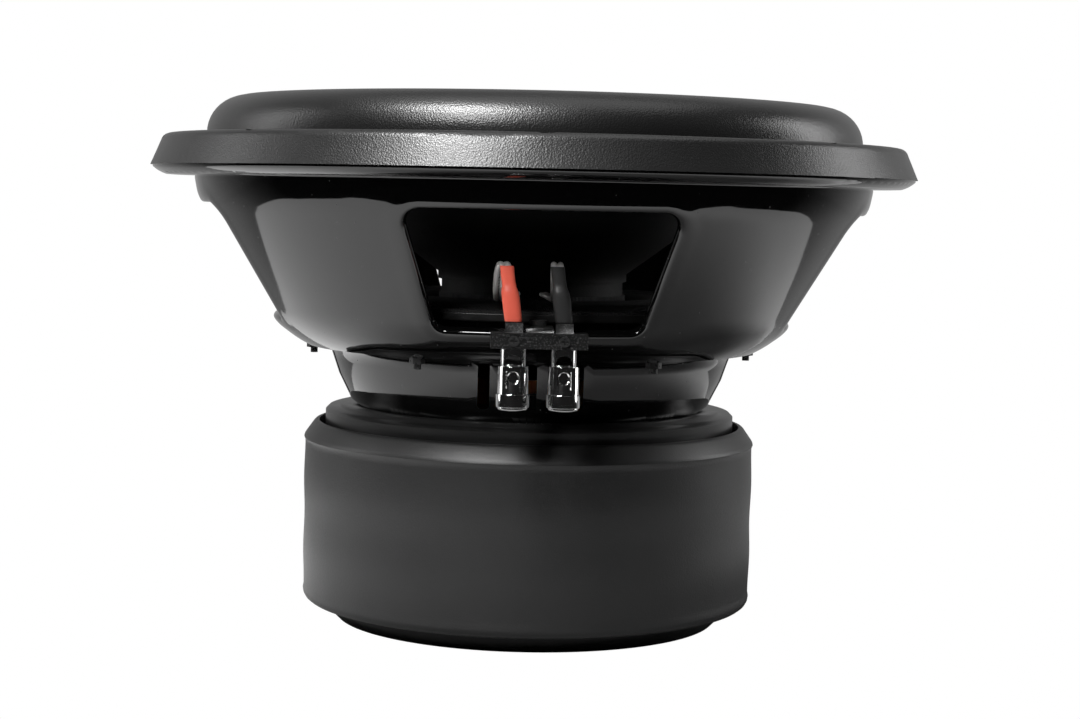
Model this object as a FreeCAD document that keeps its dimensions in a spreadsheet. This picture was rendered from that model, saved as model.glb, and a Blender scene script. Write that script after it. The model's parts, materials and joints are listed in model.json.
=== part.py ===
"""Twelve-inch class car subwoofer driver, standing on its magnet with the cone facing up.

Axis +Z, origin at the centre of the back plate's underside, front terminals towards -Y. Millimetres.
The motor, basket, suspension, cone and four spring terminals are separate sub-parts, one STEP file each.
"""
import FreeCAD
import Part
import math
import os
import re

doc = FreeCAD.newDocument("subwoofer")
sheet = doc.addObject("Spreadsheet::Sheet", "sizes")

SIZES = {
    # motor
    "vent_r": 16.0,             # bore through the pole
    "screen_lip": 4.0,          # the counterbore for the vent screen is this much wider
    "screen_depth": 1.6,
    "screen_thick": 0.8,
    "screen_hole_r": 1.7,
    "yoke_taper": 8.5,          # the foot is this much narrower than the back plate
    "yoke_taper_height": 8.5,
    "yoke_step": 1.5,           # back plate to magnet
    "yoke_thick": 14.0,
    "magnet_r": 91.0,
    "magnet_thick": 30.0,
    "magnet_clearance": 9.0,    # winding to the magnets' bore
    "plate_step": 4.0,          # top plate to magnet
    "top_plate_thick": 15.0,
    "top_plate_edge": 1.4,      # chamfer on the rim
    "land_step": 6.0,           # raised land that the basket seats on, in from the rim
    "land_height": 1.2,
    "pole_above_plate": 2.0,
    "sleeve_wall": 0.8,         # copper shorting sleeve on the pole
    "sleeve_height": 26.0,
    "boot_wall": 5.0,
    "boot_bottom": 7.8,
    "boot_bottom_edge": 2.6,
    "boot_above_magnet": 9.4,
    "boot_edge_height": 6.6,
    "boot_edge_width": 4.7,
    "boot_lip": 1.5,
    # voice coil
    "coil_bore_r": 37.7,        # inside of the former
    "former_wall": 0.4,
    "former_below_coil": 2.0,
    "layer_wall": 0.8,          # one wound layer
    "coil_height": 44.0,
    "gap_inside": 0.5,
    "gap_outside": 0.6,
    "collar_wall": 0.5,
    "collar_above_coil": 4.0,
    # basket
    "basket_wall": 4.0,
    "base_flange": 27.5,        # width of the base on the top plate
    "base_step": 7.5,           # base to the land's rim
    "base_thick": 4.0,
    "heel_flare": 2.9,
    "heel_height": 2.6,
    "neck_flare": 5.4,
    "neck_mid_height": 13.6,
    "neck_top_flare": 4.0,
    "shelf_height": 25.6,       # shelf underside above the land
    "shelf_thick": 3.5,
    "shelf_width": 9.2,
    "bowl_flare": 17.0,         # shelf's edge to the bowl's foot
    "bowl_low_height": 39.8,
    "bowl_round": 45.0,
    "bowl_high_drop": 12.5,     # the bowl's straight wall ends this far under the flange
    "bowl_high_step": 4.0,
    "wall_round": 28.4,
    "flange_height": 95.3,      # flange underside above the land
    "collar_wall_drop": 1.0,
    "flange_r": 160.0,
    "flange_thick": 3.9,
    "flange_rim": 0.8,          # thickness left at the flange's rim
    "flange_taper": 5.5,        # width of the tapered underside outside the flat seat
    "flange_round": 14.0,
    "seat_width": 11.7,         # flat seat that meets the baffle
    "rim_width": 5.8,           # flange inside the basket's wall
    "bolt_inset": 10.0,
    "bolt_hole_r": 3.6,
    "window_low": 37.3,         # window sill above the land
    "window_drop": 11.7,        # window top under the flange
    "window_low_half": 39.6,
    "window_high_half": 52.9,
    "window_corner": 6.0,
    "slot_width": 4.7,
    "slot_low": 5.4,
    "slot_edge": 1.6,           # slot top to the shelf's underside
    "slot_spread": 18.4,        # sideways pitch of the three cooling slots
    "slot_shift": 1.8,          # the group stands this far to one side of its window's middle
    "slot_corner": 1.6,
    "base_bolt_r": 3.0,
    "base_bolt_head_r": 5.0,
    "base_bolt_head": 6.0,
    "base_bolt_depth": 12.0,
    "base_bolt_inset": 13.5,
    # spider ring
    "ring_overhang": 1.8,       # the ring's bore stands this far inside the neck
    "ring_wall": 4.5,
    "ring_foot_width": 12.0,
    "ring_rim_step": 0.5,
    "ring_foot_thick": 2.8,
    "ring_rim_thick": 3.2,
    "ring_height": 14.2,
    "ring_screw_inset": 3.5,
    "ring_screw_r": 1.5,
    "ring_screw_head_r": 2.7,
    "ring_screw_head": 2.0,
    "ring_screw_tip": 2.2,      # thread showing below the nut
    "nut_circumradius": 3.15,
    "nut_height": 2.4,
    "screw_clearance": 0.1,
    # suspension and cone
    "spider_thick": 0.9,
    "spider_wave": 2.4,         # height of a wave above the mid plane
    "spider_flat": 1.2,         # flat cloth between the last wave and the clamped landing
    "spider_hub": 5.2,          # flat cloth round the collar
    "spider_neck": 4.0,
    "glue_gap": 0.2,
    "cone_above_spider": 5.8,   # cone's lower end above the upper spider's neck
    "cone_neck_rise": 3.0,
    "cone_edge_height": 8.8,    # cone's edge above the flange
    "cone_edge_lap": 1.4,       # how far the cone goes under the surround's roll
    "cone_wall": 1.6,
    "cap_r": 72.0,
    "cap_rise": 16.0,
    "cap_wall": 1.2,
    "surround_wall": 2.0,
    "surround_roll": 15.5,
    "surround_centre_height": 13.6,  # roll centre above the flange
    "surround_lip": 6.0,
    "surround_lip_thick": 1.8,
    "surround_land": 8.0,
    # gasket
    "gasket_overhang": 1.0,
    "gasket_inset": 22.0,       # flange's rim to the surround's outer wall
    "gasket_lean": 4.4,
    "gasket_crown": 3.0,
    "gasket_round": 3.6,
    "gasket_height": 12.8,
    "gasket_edge": 2.6,
    "gasket_gap": 0.4,
    "gasket_hole_r": 5.0,
    # spring terminals
    "terminal_gap": 5.0,        # barrel axis outside the bowl's foot
    "barrel_spacing": 3.05,     # grip ring to the middle between the two barrels
    "bar_low": 32.7,            # crossbar underside above the land
    "bar_height": 5.9,
    "bar_margin": 8.7,          # crossbar beyond a barrel's axis
    "bar_wall": 0.5,            # bar in front of a barrel
    "post_width": 6.7,
    "post_depth": 5.0,
    "post_height": 3.6,
    "tongue_width": 11.0,
    "tongue_thick": 3.0,
    "tongue_reach": 14.5,       # tongue's end inside the bowl's foot
    "tongue_screw_in": 10.0,
    "tongue_screw_r": 1.8,
    "tongue_screw_head_r": 3.4,
    "tongue_screw_head": 2.2,
    "tongue_screw_depth": 7.0,
    "boss_width": 15.0,
    "boss_in": 8.0,
    "boss_height": 5.2,
    "clamp_screw_r": 1.2,
    "clamp_screw_head_r": 2.0,
    "clamp_screw_head": 1.0,
    "clamp_screw_length": 2.6,
    "driver_slot": 0.6,
    "barrel_r": 4.8,
    "barrel_height": 20.6,
    "barrel_seat": 5.6,         # how far the barrel goes up into the bar
    "barrel_spring_wall": 0.9,
    "barrel_spring_depth": 3.2,
    "wire_hole_wall": 1.6,      # barrel left each side of the wire hole
    "wire_hole_drop": 5.5,      # wire hole centre below the bar
    "slide_clearance": 0.1,
    "sleeve_shell": 0.95,
    "sleeve_top_drop": 6.6,     # sleeve's top below the bar
    "push_sleeve_height": 15.4,
    "grip_height": 4.9,
    "grip_step": 0.55,
    "push_travel": 5.3,
    "push_hole_margin": 0.9,
    "end_cap_step": 0.65,
    "end_cap_height": 1.2,
    "end_cap_plug": 1.5,
    "spring_slack": 0.6,
    "spring_wire_r": 0.4,
    "spring_turns": 5.0,
    "lug_width": 4.2,
    "lug_thick": 0.8,
    "lug_height": 10.0,
    "heat_shrink_height": 21.2,
    "lead_r": 1.1,
    "lead_spacing": 2.4,
}

# Sizes that follow from others: each piece takes its place from the piece that it sits on or fits.
FOLLOWING = {
    "screen_r": "vent_r + screen_lip",
    "yoke_r": "magnet_r - yoke_step",
    "yoke_foot_r": "yoke_r - yoke_taper",
    "top_plate_r": "magnet_r - plate_step",
    "land_r": "top_plate_r - land_step",
    "base_r": "land_r - base_step",
    "base_bore_r": "base_r - base_flange",
    "base_bolt_circle_r": "base_r - base_bolt_inset",
    "heel_r": "base_r + heel_flare",
    "neck_mid_r": "heel_r + neck_flare",
    "neck_top_r": "neck_mid_r + neck_top_flare",
    "shelf_edge_r": "neck_top_r + shelf_width",
    "slot_high": "shelf_height - slot_edge",
    "bowl_low_r": "shelf_edge_r + bowl_flare",
    "bowl_high_r": "collar_wall_r - bowl_high_step",
    "bowl_high_height": "flange_height - bowl_high_drop",
    "seat_r": "flange_r - flange_taper",
    "collar_wall_r": "seat_r - seat_width",
    "flange_bore_r": "collar_wall_r - rim_width",
    "bolt_circle_r": "flange_r - bolt_inset",
    "window_high": "flange_height - window_drop",
    "ring_bore_r": "neck_top_r - ring_overhang",
    "ring_web_r": "ring_bore_r + ring_wall",
    "ring_foot_r": "ring_bore_r + ring_foot_width",
    "ring_rim_r": "ring_foot_r - ring_rim_step",
    "ring_screw_circle_r": "ring_foot_r - ring_screw_inset",
    "surround_r": "flange_r - gasket_inset",
    "surround_lip_r": "surround_r + surround_lip",
    "cone_r": "surround_r - 2 * surround_roll + cone_edge_lap",
    "gasket_r": "flange_r + gasket_overhang",
    "gasket_top_r": "gasket_r - gasket_lean",
    "gasket_crown_r": "gasket_top_r - gasket_crown",
    "terminal_reach": "bowl_low_r + terminal_gap",
    "terminal_half_pitch": "grip_r + barrel_spacing",
    "bar_length": "2 * (terminal_half_pitch + bar_margin)",
    "bar_depth": "2 * (barrel_r + bar_wall)",
    "tongue_end": "bowl_low_r - tongue_reach",
    "tongue_screw_at": "bowl_low_r - tongue_screw_in",
    "boss_outside": "bowl_low_r - boss_in",
    "grip_r": "barrel_r + slide_clearance + sleeve_shell + grip_step",
    "barrel_spring_bore_r": "barrel_r - barrel_spring_wall",
    "spring_r": "barrel_spring_bore_r - spring_slack",
    "wire_hole_r": "barrel_r - wire_hole_wall",
    "push_hole_r": "wire_hole_r - push_hole_margin",
    "end_cap_r": "grip_r - end_cap_step",
}

BOLT_COUNT = 8
WINDOW_COUNT = 4
RING_SCREW_COUNT = 6
PLANES = {}


def fill_sheet():
    """Puts every driving size in the sheet as a plain number with its alias."""
    for row, (alias, value) in enumerate(SIZES.items(), start=1):
        sheet.set(f"A{row}", alias)
        sheet.set(f"B{row}", str(value))
        sheet.setAlias(f"B{row}", alias)
    doc.recompute()


def written_out(match):
    """The sizes that a following size is worked out from, in brackets; any other word as it is."""
    return f"({FOLLOWING[match[0]]})" if match[0] in FOLLOWING else match[0]


def bound(formula):
    """A formula in size names, as an expression that reads the sheet."""
    while any(name in FOLLOWING for name in re.findall(r"[a-z_]\w*", formula)):
        formula = re.sub(r"[a-z_]\w*", written_out, formula)
    return re.sub(r"[a-z_]\w*", lambda m: f"sizes.{m[0]}" if m[0] in SIZES else m[0], formula)


def value_of(formula):
    """The formula's value for the sizes in the sheet."""
    return float(sheet.evalExpression(bound(formula)))


# Levels that several pieces share, each worked out from the sizes stacked below it.
MAGNET_TOP = "(yoke_thick + 2 * magnet_thick)"
PLATE_TOP = f"({MAGNET_TOP} + top_plate_thick)"
LAND = f"({PLATE_TOP} + land_height)"
SHELF_TOP = f"({LAND} + shelf_height + shelf_thick)"
RING_FOOT = f"({SHELF_TOP} + spider_thick)"
RING_TOP = f"({RING_FOOT} + ring_height)"
FLANGE_TOP = f"({LAND} + flange_height + flange_thick)"
FORMER_R = "(coil_bore_r + former_wall)"
COIL_R = f"({FORMER_R} + 2 * layer_wall)"
COIL_TOP = f"({MAGNET_TOP} / 2 + {LAND} / 2 + coil_height / 2)"
COIL_BOTTOM = f"({COIL_TOP} - coil_height)"
COLLAR_R = f"({FORMER_R} + collar_wall)"
CONE_BOTTOM = f"({RING_TOP} + spider_neck + cone_above_spider)"
CONE_START = f"({CONE_BOTTOM} + cone_neck_rise)"
CONE_DEPTH = f"({FLANGE_TOP} + cone_edge_height - {CONE_START})"
CONE_SLOPE = f"({CONE_DEPTH} / (cone_r - {COLLAR_R} - cone_wall))"
SILL = f"({LAND} + window_low)"
BAR_LOW = f"({LAND} + bar_low)"
BAR_TOP = f"({BAR_LOW} + bar_height)"
POST_TOP = f"({BAR_TOP} + post_height)"
SLEEVE_TOP = f"({BAR_LOW} - sleeve_top_drop)"
SLEEVE_BOTTOM = f"({SLEEVE_TOP} - push_sleeve_height)"
BARREL_TOP = f"({BAR_LOW} + barrel_seat)"
BARREL_BOTTOM = f"({BARREL_TOP} - barrel_height)"
WIRE_HOLE = f"({BAR_LOW} - wire_hole_drop)"
SPIDER_START = f"({COLLAR_R} + spider_hub)"
SPIDER_ROLL = f"((ring_bore_r - spider_flat - {SPIDER_START}) / 6)"


# ---- helpers -------------------------------------------------------------------------------------

def bind(target, name, formula):
    """Ties one property of an object to the sheet."""
    target.setExpression(name, bound(formula))


def cone_surface(radius):
    """Height of the cone's front face at a radius, as a formula."""
    return f"({CONE_START} + ({radius} - {COLLAR_R} - cone_wall) * {CONE_SLOPE} + cone_wall)"


def new_body(label):
    """An empty body whose label names its file."""
    body = doc.addObject("PartDesign::Body", label)
    body.Label = label
    PLANES[body.Name] = {o.Role: o for o in body.Origin.OriginFeatures}
    return body


def new_sketch(body, plane, level=None):
    """A sketch on one of the body's own origin planes, raised to a level if one is given."""
    sketch = body.newObject("Sketcher::SketchObject", body.Label + "_sketch")
    sketch.AttachmentSupport = [(PLANES[body.Name][plane], "")]
    sketch.MapMode = "FlatFace"
    if level:
        bind(sketch, "AttachmentOffset.Base.z", level)
    return sketch


def pin_down(sketch, geometry, end, across, up):
    """Dimensions one point of a sketch from the origin, across and up, by formula."""
    import Sketcher
    for kind, formula, axis in (("DistanceX", across, -2), ("DistanceY", up, -1)):
        size = value_of(formula)
        if abs(size) < 1e-9:
            sketch.addConstraint(Sketcher.Constraint("PointOnObject", geometry, end, axis))
            continue
        if size > 0:
            number = sketch.addConstraint(Sketcher.Constraint(kind, -1, 1, geometry, end, size))
            sketch.setExpression(f"Constraints[{number}]", bound(formula))
        else:
            number = sketch.addConstraint(Sketcher.Constraint(kind, geometry, end, -1, 1, -size))
            sketch.setExpression(f"Constraints[{number}]", bound(f"-({formula})"))


def bulge_point(start, end, radius, side):
    """Middle of the shorter arc from start to end that bulges left (side 1) or right (side -1) of the way."""
    along = end - start
    normal = FreeCAD.Vector(-along.y, along.x, 0) / along.Length
    sunk = math.sqrt(max(radius ** 2 - (along.Length / 2) ** 2, 0.0))
    return (start + end) / 2 + normal * side * (radius - sunk)


def outline(sketch, corners):
    """A closed outline. A corner is (across, up), or (across, up, radius, side) where an arc leaves it.

    A sketch stores its arcs anticlockwise, so an arc that bulges left of the way is drawn end first.
    """
    import Sketcher
    points = [FreeCAD.Vector(value_of(c[0]), value_of(c[1]), 0) for c in corners]
    edges = []
    for i, corner in enumerate(corners):
        start, end = points[i], points[(i + 1) % len(points)]
        if len(corner) == 2:
            edges.append((sketch.addGeometry(Part.LineSegment(start, end), False), 1, 2))
            continue
        middle = bulge_point(start, end, value_of(corner[2]), corner[3])
        if corner[3] < 0:
            edges.append((sketch.addGeometry(Part.Arc(start, middle, end), False), 1, 2))
        else:
            edges.append((sketch.addGeometry(Part.Arc(end, middle, start), False), 2, 1))
    for i, corner in enumerate(corners):
        before, here = edges[i - 1], edges[i]
        sketch.addConstraint(Sketcher.Constraint("Coincident", before[0], before[2], here[0], here[1]))
        pin_down(sketch, here[0], here[1], corner[0], corner[1])
    for corner, edge in zip(corners, edges):
        if len(corner) > 2:
            size = value_of(corner[2])
            number = sketch.addConstraint(Sketcher.Constraint("Radius", edge[0], size))
            sketch.setExpression(f"Constraints[{number}]", bound(corner[2]))


def rounded_outline(sketch, corners, radius):
    """A straight-sided outline, anticlockwise, with rounded corners; the corners are where sides would meet."""
    import Sketcher
    size = value_of(radius)
    points = [FreeCAD.Vector(value_of(a), value_of(b), 0) for a, b in corners]
    count = len(points)
    trims = []
    for i, point in enumerate(points):
        back = (points[i - 1] - point).normalize()
        ahead = (points[(i + 1) % count] - point).normalize()
        half = back.getAngle(ahead) / 2
        reach = size / math.tan(half)
        centre = point + (back + ahead).normalize() * (size / math.sin(half))
        nearest = centre + (point - centre).normalize() * size
        trims.append((point + back * reach, nearest, point + ahead * reach))
    sides, rounds, marks = [], [], []
    for i in range(count):
        start, end = trims[i][2], trims[(i + 1) % count][0]
        sides.append(sketch.addGeometry(Part.LineSegment(start, end), False))
        rounds.append(sketch.addGeometry(Part.Arc(*trims[i]), False))
        marks.append(sketch.addGeometry(Part.Point(points[i]), True))
    for i, (across, up) in enumerate(corners):
        pin_down(sketch, marks[i], 1, across, up)
        sketch.addConstraint(Sketcher.Constraint("PointOnObject", marks[i], 1, sides[i]))
        sketch.addConstraint(Sketcher.Constraint("PointOnObject", marks[i], 1, sides[i - 1]))
        sketch.addConstraint(Sketcher.Constraint("Tangent", sides[i - 1], 2, rounds[i], 1))
        sketch.addConstraint(Sketcher.Constraint("Tangent", rounds[i], 2, sides[i], 1))
        number = sketch.addConstraint(Sketcher.Constraint("Radius", rounds[i], size))
        sketch.setExpression(f"Constraints[{number}]", bound(radius))


def circle(sketch, across, up, radius):
    """A circle with its centre and radius dimensioned by formula."""
    import Sketcher
    centre = FreeCAD.Vector(value_of(across), value_of(up), 0)
    shape = Part.Circle(centre, FreeCAD.Vector(0, 0, 1), value_of(radius))
    number = sketch.addGeometry(shape, False)
    pin_down(sketch, number, 3, across, up)
    limit = sketch.addConstraint(Sketcher.Constraint("Radius", number, value_of(radius)))
    sketch.setExpression(f"Constraints[{limit}]", bound(radius))


def revolve(label, corners):
    """A body turned about Z from a closed profile of (radius, height) corners."""
    body = new_body(label)
    sketch = new_sketch(body, "XZ_Plane")
    outline(sketch, corners)
    turned = body.newObject("PartDesign::Revolution", label + "_turned")
    turned.Profile = sketch
    turned.ReferenceAxis = (sketch, ["V_Axis"])
    turned.Angle = 360
    doc.recompute()
    return body


def ring_body(label, bore, radius, bottom, top):
    """A plain ring."""
    return revolve(label, [(bore, bottom), (radius, bottom), (radius, top), (bore, top)])


def pad(body, sketch, height):
    """Raises a sketch by a height along its own normal."""
    feature = body.newObject("PartDesign::Pad", body.Label + "_pad")
    feature.Profile = sketch
    bind(feature, "Length", height)
    doc.recompute()
    return feature


def pocket(body, sketch, both_ways=False, flipped=False):
    """Cuts a sketch right through, and stops if it takes nothing away."""
    before = body.Shape.Volume
    feature = body.newObject("PartDesign::Pocket", body.Label + "_pocket")
    feature.Profile = sketch
    feature.Type = 1
    feature.Midplane = both_ways
    feature.Reversed = flipped
    doc.recompute()
    if body.Shape.Volume > before - 1e-3:
        raise RuntimeError(f"{feature.Label} cuts nothing")
    return feature


def polar(body, features, count):
    """Repeats features evenly about Z."""
    pattern = body.newObject("PartDesign::PolarPattern", body.Label + "_polar")
    pattern.Originals = features
    pattern.Axis = (PLANES[body.Name]["Z_Axis"], [""])
    pattern.Angle = 360
    pattern.Occurrences = count
    body.Tip = pattern
    doc.recompute()
    return pattern


def place(thing, across="0", deep="0", up="0", turn=0):
    """Sets where a piece stands: an offset by formula, then a turn in degrees about the driver's axis."""
    cosine, sine = round(math.cos(math.radians(turn))), round(math.sin(math.radians(turn)))
    bind(thing, "Placement.Base.x", f"({across}) * {cosine} - ({deep}) * {sine}")
    bind(thing, "Placement.Base.y", f"({across}) * {sine} + ({deep}) * {cosine}")
    bind(thing, "Placement.Base.z", up)
    thing.Placement.Rotation = FreeCAD.Rotation(FreeCAD.Vector(0, 0, 1), turn)


def primitive(kind, name, sizes, across="0", deep="0", up="0", lying=False):
    """A Part primitive with its sizes and its place bound; a lying one points along +Y."""
    shape = doc.addObject(f"Part::{kind}", name)
    for size, formula in sizes.items():
        bind(shape, size, formula)
    if lying:
        shape.Placement.Rotation = FreeCAD.Rotation(FreeCAD.Vector(1, 0, 0), -90)
    bind(shape, "Placement.Base.x", across)
    bind(shape, "Placement.Base.y", deep)
    bind(shape, "Placement.Base.z", up)
    return shape


def block(name, width, depth, height, across, deep, up):
    """A box centred across, running from deep towards +Y and from up towards +Z."""
    sizes = {"Length": width, "Width": depth, "Height": height}
    return primitive("Box", name, sizes, f"{across} - ({width}) / 2", deep, up)


def joined(name, shapes):
    """One solid from several that overlap or touch."""
    fused = doc.addObject("Part::MultiFuse", name)
    fused.Shapes = shapes
    fused.Refine = True
    doc.recompute()
    return fused


def cut_away(name, base, tools):
    """A base with one or more tools cut out of it."""
    for number, tool in enumerate(tools):
        cut = doc.addObject("Part::Cut", name if number == len(tools) - 1 else f"{name}_{number}")
        cut.Base = base
        cut.Tool = tool
        doc.recompute()
        if cut.Shape.Volume > base.Shape.Volume - 1e-3:
            raise RuntimeError(f"{cut.Label} cuts nothing")
        base = cut
    return base


def keep(thing, label):
    """Names a finished sub-part and adds it to the list that is written out."""
    thing.Label = label
    SUB_PARTS.append(thing)
    return thing


SUB_PARTS = []


# ---- motor ---------------------------------------------------------------------------------------

def make_yoke():
    """Back plate and vented pole, forged in one. The foot is narrower than the plate."""
    sleeve_in = "(coil_bore_r - gap_inside - sleeve_wall)"
    return revolve("t_yoke", [
        ("screen_r", "0"),
        ("yoke_foot_r", "0"),
        ("yoke_r", "yoke_taper_height"),
        ("yoke_r", "yoke_thick"),
        (sleeve_in, "yoke_thick"),
        (sleeve_in, f"{PLATE_TOP} + pole_above_plate"),
        ("vent_r", f"{PLATE_TOP} + pole_above_plate"),
        ("vent_r", "screen_depth"),
        ("screen_r", "screen_depth"),
    ])


def make_shorting_sleeve():
    """Copper sleeve pressed on the top of the pole."""
    outside = "(coil_bore_r - gap_inside)"
    top = f"({PLATE_TOP} + pole_above_plate)"
    return ring_body("shorting_sleeve", f"{outside} - sleeve_wall", outside, f"{top} - sleeve_height", top)


def make_magnets():
    """Two ferrite rings, stacked and glued."""
    bore, seam = f"({COIL_R} + magnet_clearance)", "(yoke_thick + magnet_thick)"
    lower = ring_body("magnet_lower", bore, "magnet_r", "yoke_thick", seam)
    upper = ring_body("magnet_upper", bore, "magnet_r", seam, MAGNET_TOP)
    return [lower, upper]


def make_top_plate():
    """Steel front plate with a raised land for the basket and eight tapped holes."""
    bore = f"({COIL_R} + gap_outside)"
    body = revolve("top_plate", [
        (bore, MAGNET_TOP),
        ("top_plate_r", MAGNET_TOP),
        ("top_plate_r", f"{PLATE_TOP} - top_plate_edge"),
        ("top_plate_r - top_plate_edge", PLATE_TOP),
        ("land_r", PLATE_TOP),
        ("land_r", LAND),
        (bore, LAND),
    ])
    sketch = new_sketch(body, "XY_Plane", f"{LAND} + base_thick - base_bolt_depth")
    circle(sketch, "base_bolt_circle_r", "0", "base_bolt_r")
    hole = pocket(body, sketch, flipped=True)
    polar(body, [hole], BOLT_COUNT)
    return body


def make_boot():
    """Rubber boot stretched over the magnets, with a chamfered rim and a turned-in lip."""
    outside = "(magnet_r + boot_wall)"
    top = f"({MAGNET_TOP} + boot_above_magnet)"
    return revolve("magnet_boot", [
        ("magnet_r", "boot_bottom"),
        (f"{outside} - boot_bottom_edge", "boot_bottom"),
        (outside, "boot_bottom + boot_bottom_edge"),
        (outside, f"{top} - boot_edge_height"),
        (f"{outside} - boot_edge_width", top),
        ("magnet_r - boot_lip", top),
        ("magnet_r - boot_lip", MAGNET_TOP),
        ("magnet_r", MAGNET_TOP),
    ])


def make_vent_screen():
    """Perforated disc in the back plate's counterbore."""
    bottom = "(screen_depth - screen_thick)"
    body = revolve("vent_screen", [
        ("0", bottom), ("screen_r", bottom), ("screen_r", "screen_depth"), ("0", "screen_depth")])
    holes = []
    for circle_share, count in ((0.27, 6), (0.56, 12)):
        sketch = new_sketch(body, "XY_Plane")
        circle(sketch, f"vent_r * {circle_share} * 1.3", "0", "screen_hole_r")
        holes.append(polar(body, [pocket(body, sketch, flipped=True)], count))
    return body


# ---- voice coil ----------------------------------------------------------------------------------

def make_coil():
    """Former with two wound layers, one for each coil, and a stiffening collar above them."""
    middle = f"({FORMER_R} + layer_wall)"
    former_bottom = f"({COIL_BOTTOM} - former_below_coil)"
    return [
        ring_body("coil_former", "coil_bore_r", FORMER_R, former_bottom, CONE_START),
        ring_body("winding_inner", FORMER_R, middle, COIL_BOTTOM, COIL_TOP),
        ring_body("winding_outer", middle, COIL_R, COIL_BOTTOM, COIL_TOP),
        ring_body("former_collar", FORMER_R, COLLAR_R, f"{COIL_TOP} + collar_above_coil", CONE_START),
    ]


# ---- basket --------------------------------------------------------------------------------------

def make_basket():
    """Cast aluminium basket: base, neck, spider shelf, bowl and mounting flange, one wall thick."""
    shelf = f"({LAND} + shelf_height)"
    wall = "basket_wall"
    body = revolve("basket", [
        ("base_bore_r", LAND),
        ("base_r", LAND),
        ("heel_r", f"{LAND} + heel_height"),
        ("neck_mid_r", f"{LAND} + neck_mid_height"),
        ("neck_top_r", shelf),
        ("shelf_edge_r", shelf, "bowl_round", -1),
        ("bowl_low_r", f"{LAND} + bowl_low_height"),
        ("bowl_high_r", f"{LAND} + bowl_high_height", "wall_round", -1),
        ("collar_wall_r", f"{LAND} + flange_height - collar_wall_drop"),
        ("collar_wall_r", f"{LAND} + flange_height"),
        ("seat_r", f"{LAND} + flange_height", "flange_round", -1),
        ("flange_r", f"{FLANGE_TOP} - flange_rim"),
        ("flange_r", FLANGE_TOP),
        ("flange_bore_r", FLANGE_TOP),
        ("flange_bore_r", f"{FLANGE_TOP} - flange_thick - {wall}"),
        (f"bowl_high_r - {wall}", f"{LAND} + bowl_high_height"),
        (f"bowl_low_r - {wall}", f"{LAND} + bowl_low_height + 1", f"bowl_round - {wall}", 1),
        ("shelf_edge_r + 1", SHELF_TOP),
        (f"neck_top_r - {wall}", SHELF_TOP),
        (f"neck_mid_r - {wall}", f"{LAND} + neck_mid_height"),
        (f"heel_r - {wall}", f"{LAND} + base_thick"),
        ("base_bore_r", f"{LAND} + base_thick"),
    ])
    bosses = new_sketch(body, "XY_Plane", f"{SILL} - boss_height")
    outline(bosses, [
        ("-boss_width / 2", "-boss_outside"),
        ("boss_width / 2", "-boss_outside"),
        ("boss_width / 2", "-tongue_end"),
        ("-boss_width / 2", "-tongue_end"),
    ])
    boss = pad(body, bosses, "boss_height")
    polar(body, [boss], 2)

    windows = new_sketch(body, "XZ_Plane")
    top = f"({LAND} + window_high)"
    rounded_outline(windows, [
        ("-window_low_half", SILL), ("window_low_half", SILL),
        ("window_high_half", top), ("-window_high_half", top),
    ], "window_corner")
    slots = new_sketch(body, "XZ_Plane")
    for step in (-1, 0, 1):
        middle = f"(slot_spread * {step} + slot_shift)"
        left, right = f"{middle} - slot_width / 2", f"{middle} + slot_width / 2"
        low, high = f"{LAND} + slot_low", f"{LAND} + slot_high"
        rounded_outline(slots, [(left, low), (right, low), (right, high), (left, high)], "slot_corner")
    openings = [pocket(body, windows), pocket(body, slots)]
    polar(body, openings, WINDOW_COUNT)

    for circle_r, hole_r, count, level in (
        ("bolt_circle_r", "bolt_hole_r", BOLT_COUNT, f"{LAND} + bowl_high_height + basket_wall"),
        ("base_bolt_circle_r", "base_bolt_r + screw_clearance", BOLT_COUNT, None),
        ("ring_screw_circle_r", "ring_screw_r + screw_clearance", RING_SCREW_COUNT, None),
    ):
        sketch = new_sketch(body, "XY_Plane", level)
        circle(sketch, circle_r, "0", hole_r)
        polar(body, [pocket(body, sketch, flipped=True)], count)
    return body


def screw_at(name, profile, across, deep, turn=0):
    """One screw as a turned solid at a place: profile is (radius, bottom, top) steps, lowest first."""
    steps = [primitive("Cylinder", f"{name}_step", {"Radius": r, "Height": f"{top} - ({bottom})"},
                       across, deep, bottom) for r, bottom, top in profile]
    return joined(name, steps)


def group(label, things):
    """Several separate solids as one node."""
    compound = doc.addObject("Part::Compound", label)
    compound.Links = things
    doc.recompute()
    return compound


def around(name, maker, circle_r, count):
    """A maker's piece repeated round a circle; maker gets a name and its across and deep formulas."""
    pieces = []
    for number in range(count):
        angle = 360 * number / count
        across, deep = f"{circle_r} * cos({angle})", f"{circle_r} * sin({angle})"
        pieces.append(maker(f"{name}_{number}", across, deep))
    return group(name, pieces)


def make_base_bolts():
    """Eight cap screws that hold the basket to the top plate, heads inside the neck."""
    seat = f"({LAND} + base_thick)"
    profile = [("base_bolt_r", f"{seat} - base_bolt_depth", seat),
               ("base_bolt_head_r", seat, f"{seat} + base_bolt_head")]

    def bolt(name, across, deep):
        socket = primitive("Prism", f"{name}_socket",
                           {"Circumradius": "base_bolt_r * 0.96", "Height": "base_bolt_head * 0.6"},
                           across, deep, f"{seat} + base_bolt_head * 0.4")
        return cut_away(f"{name}_bolt", screw_at(name, profile, across, deep), [socket])

    return around("basket_bolts", bolt, "base_bolt_circle_r", BOLT_COUNT)


# ---- spider ring and its screws ------------------------------------------------------------------

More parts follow.
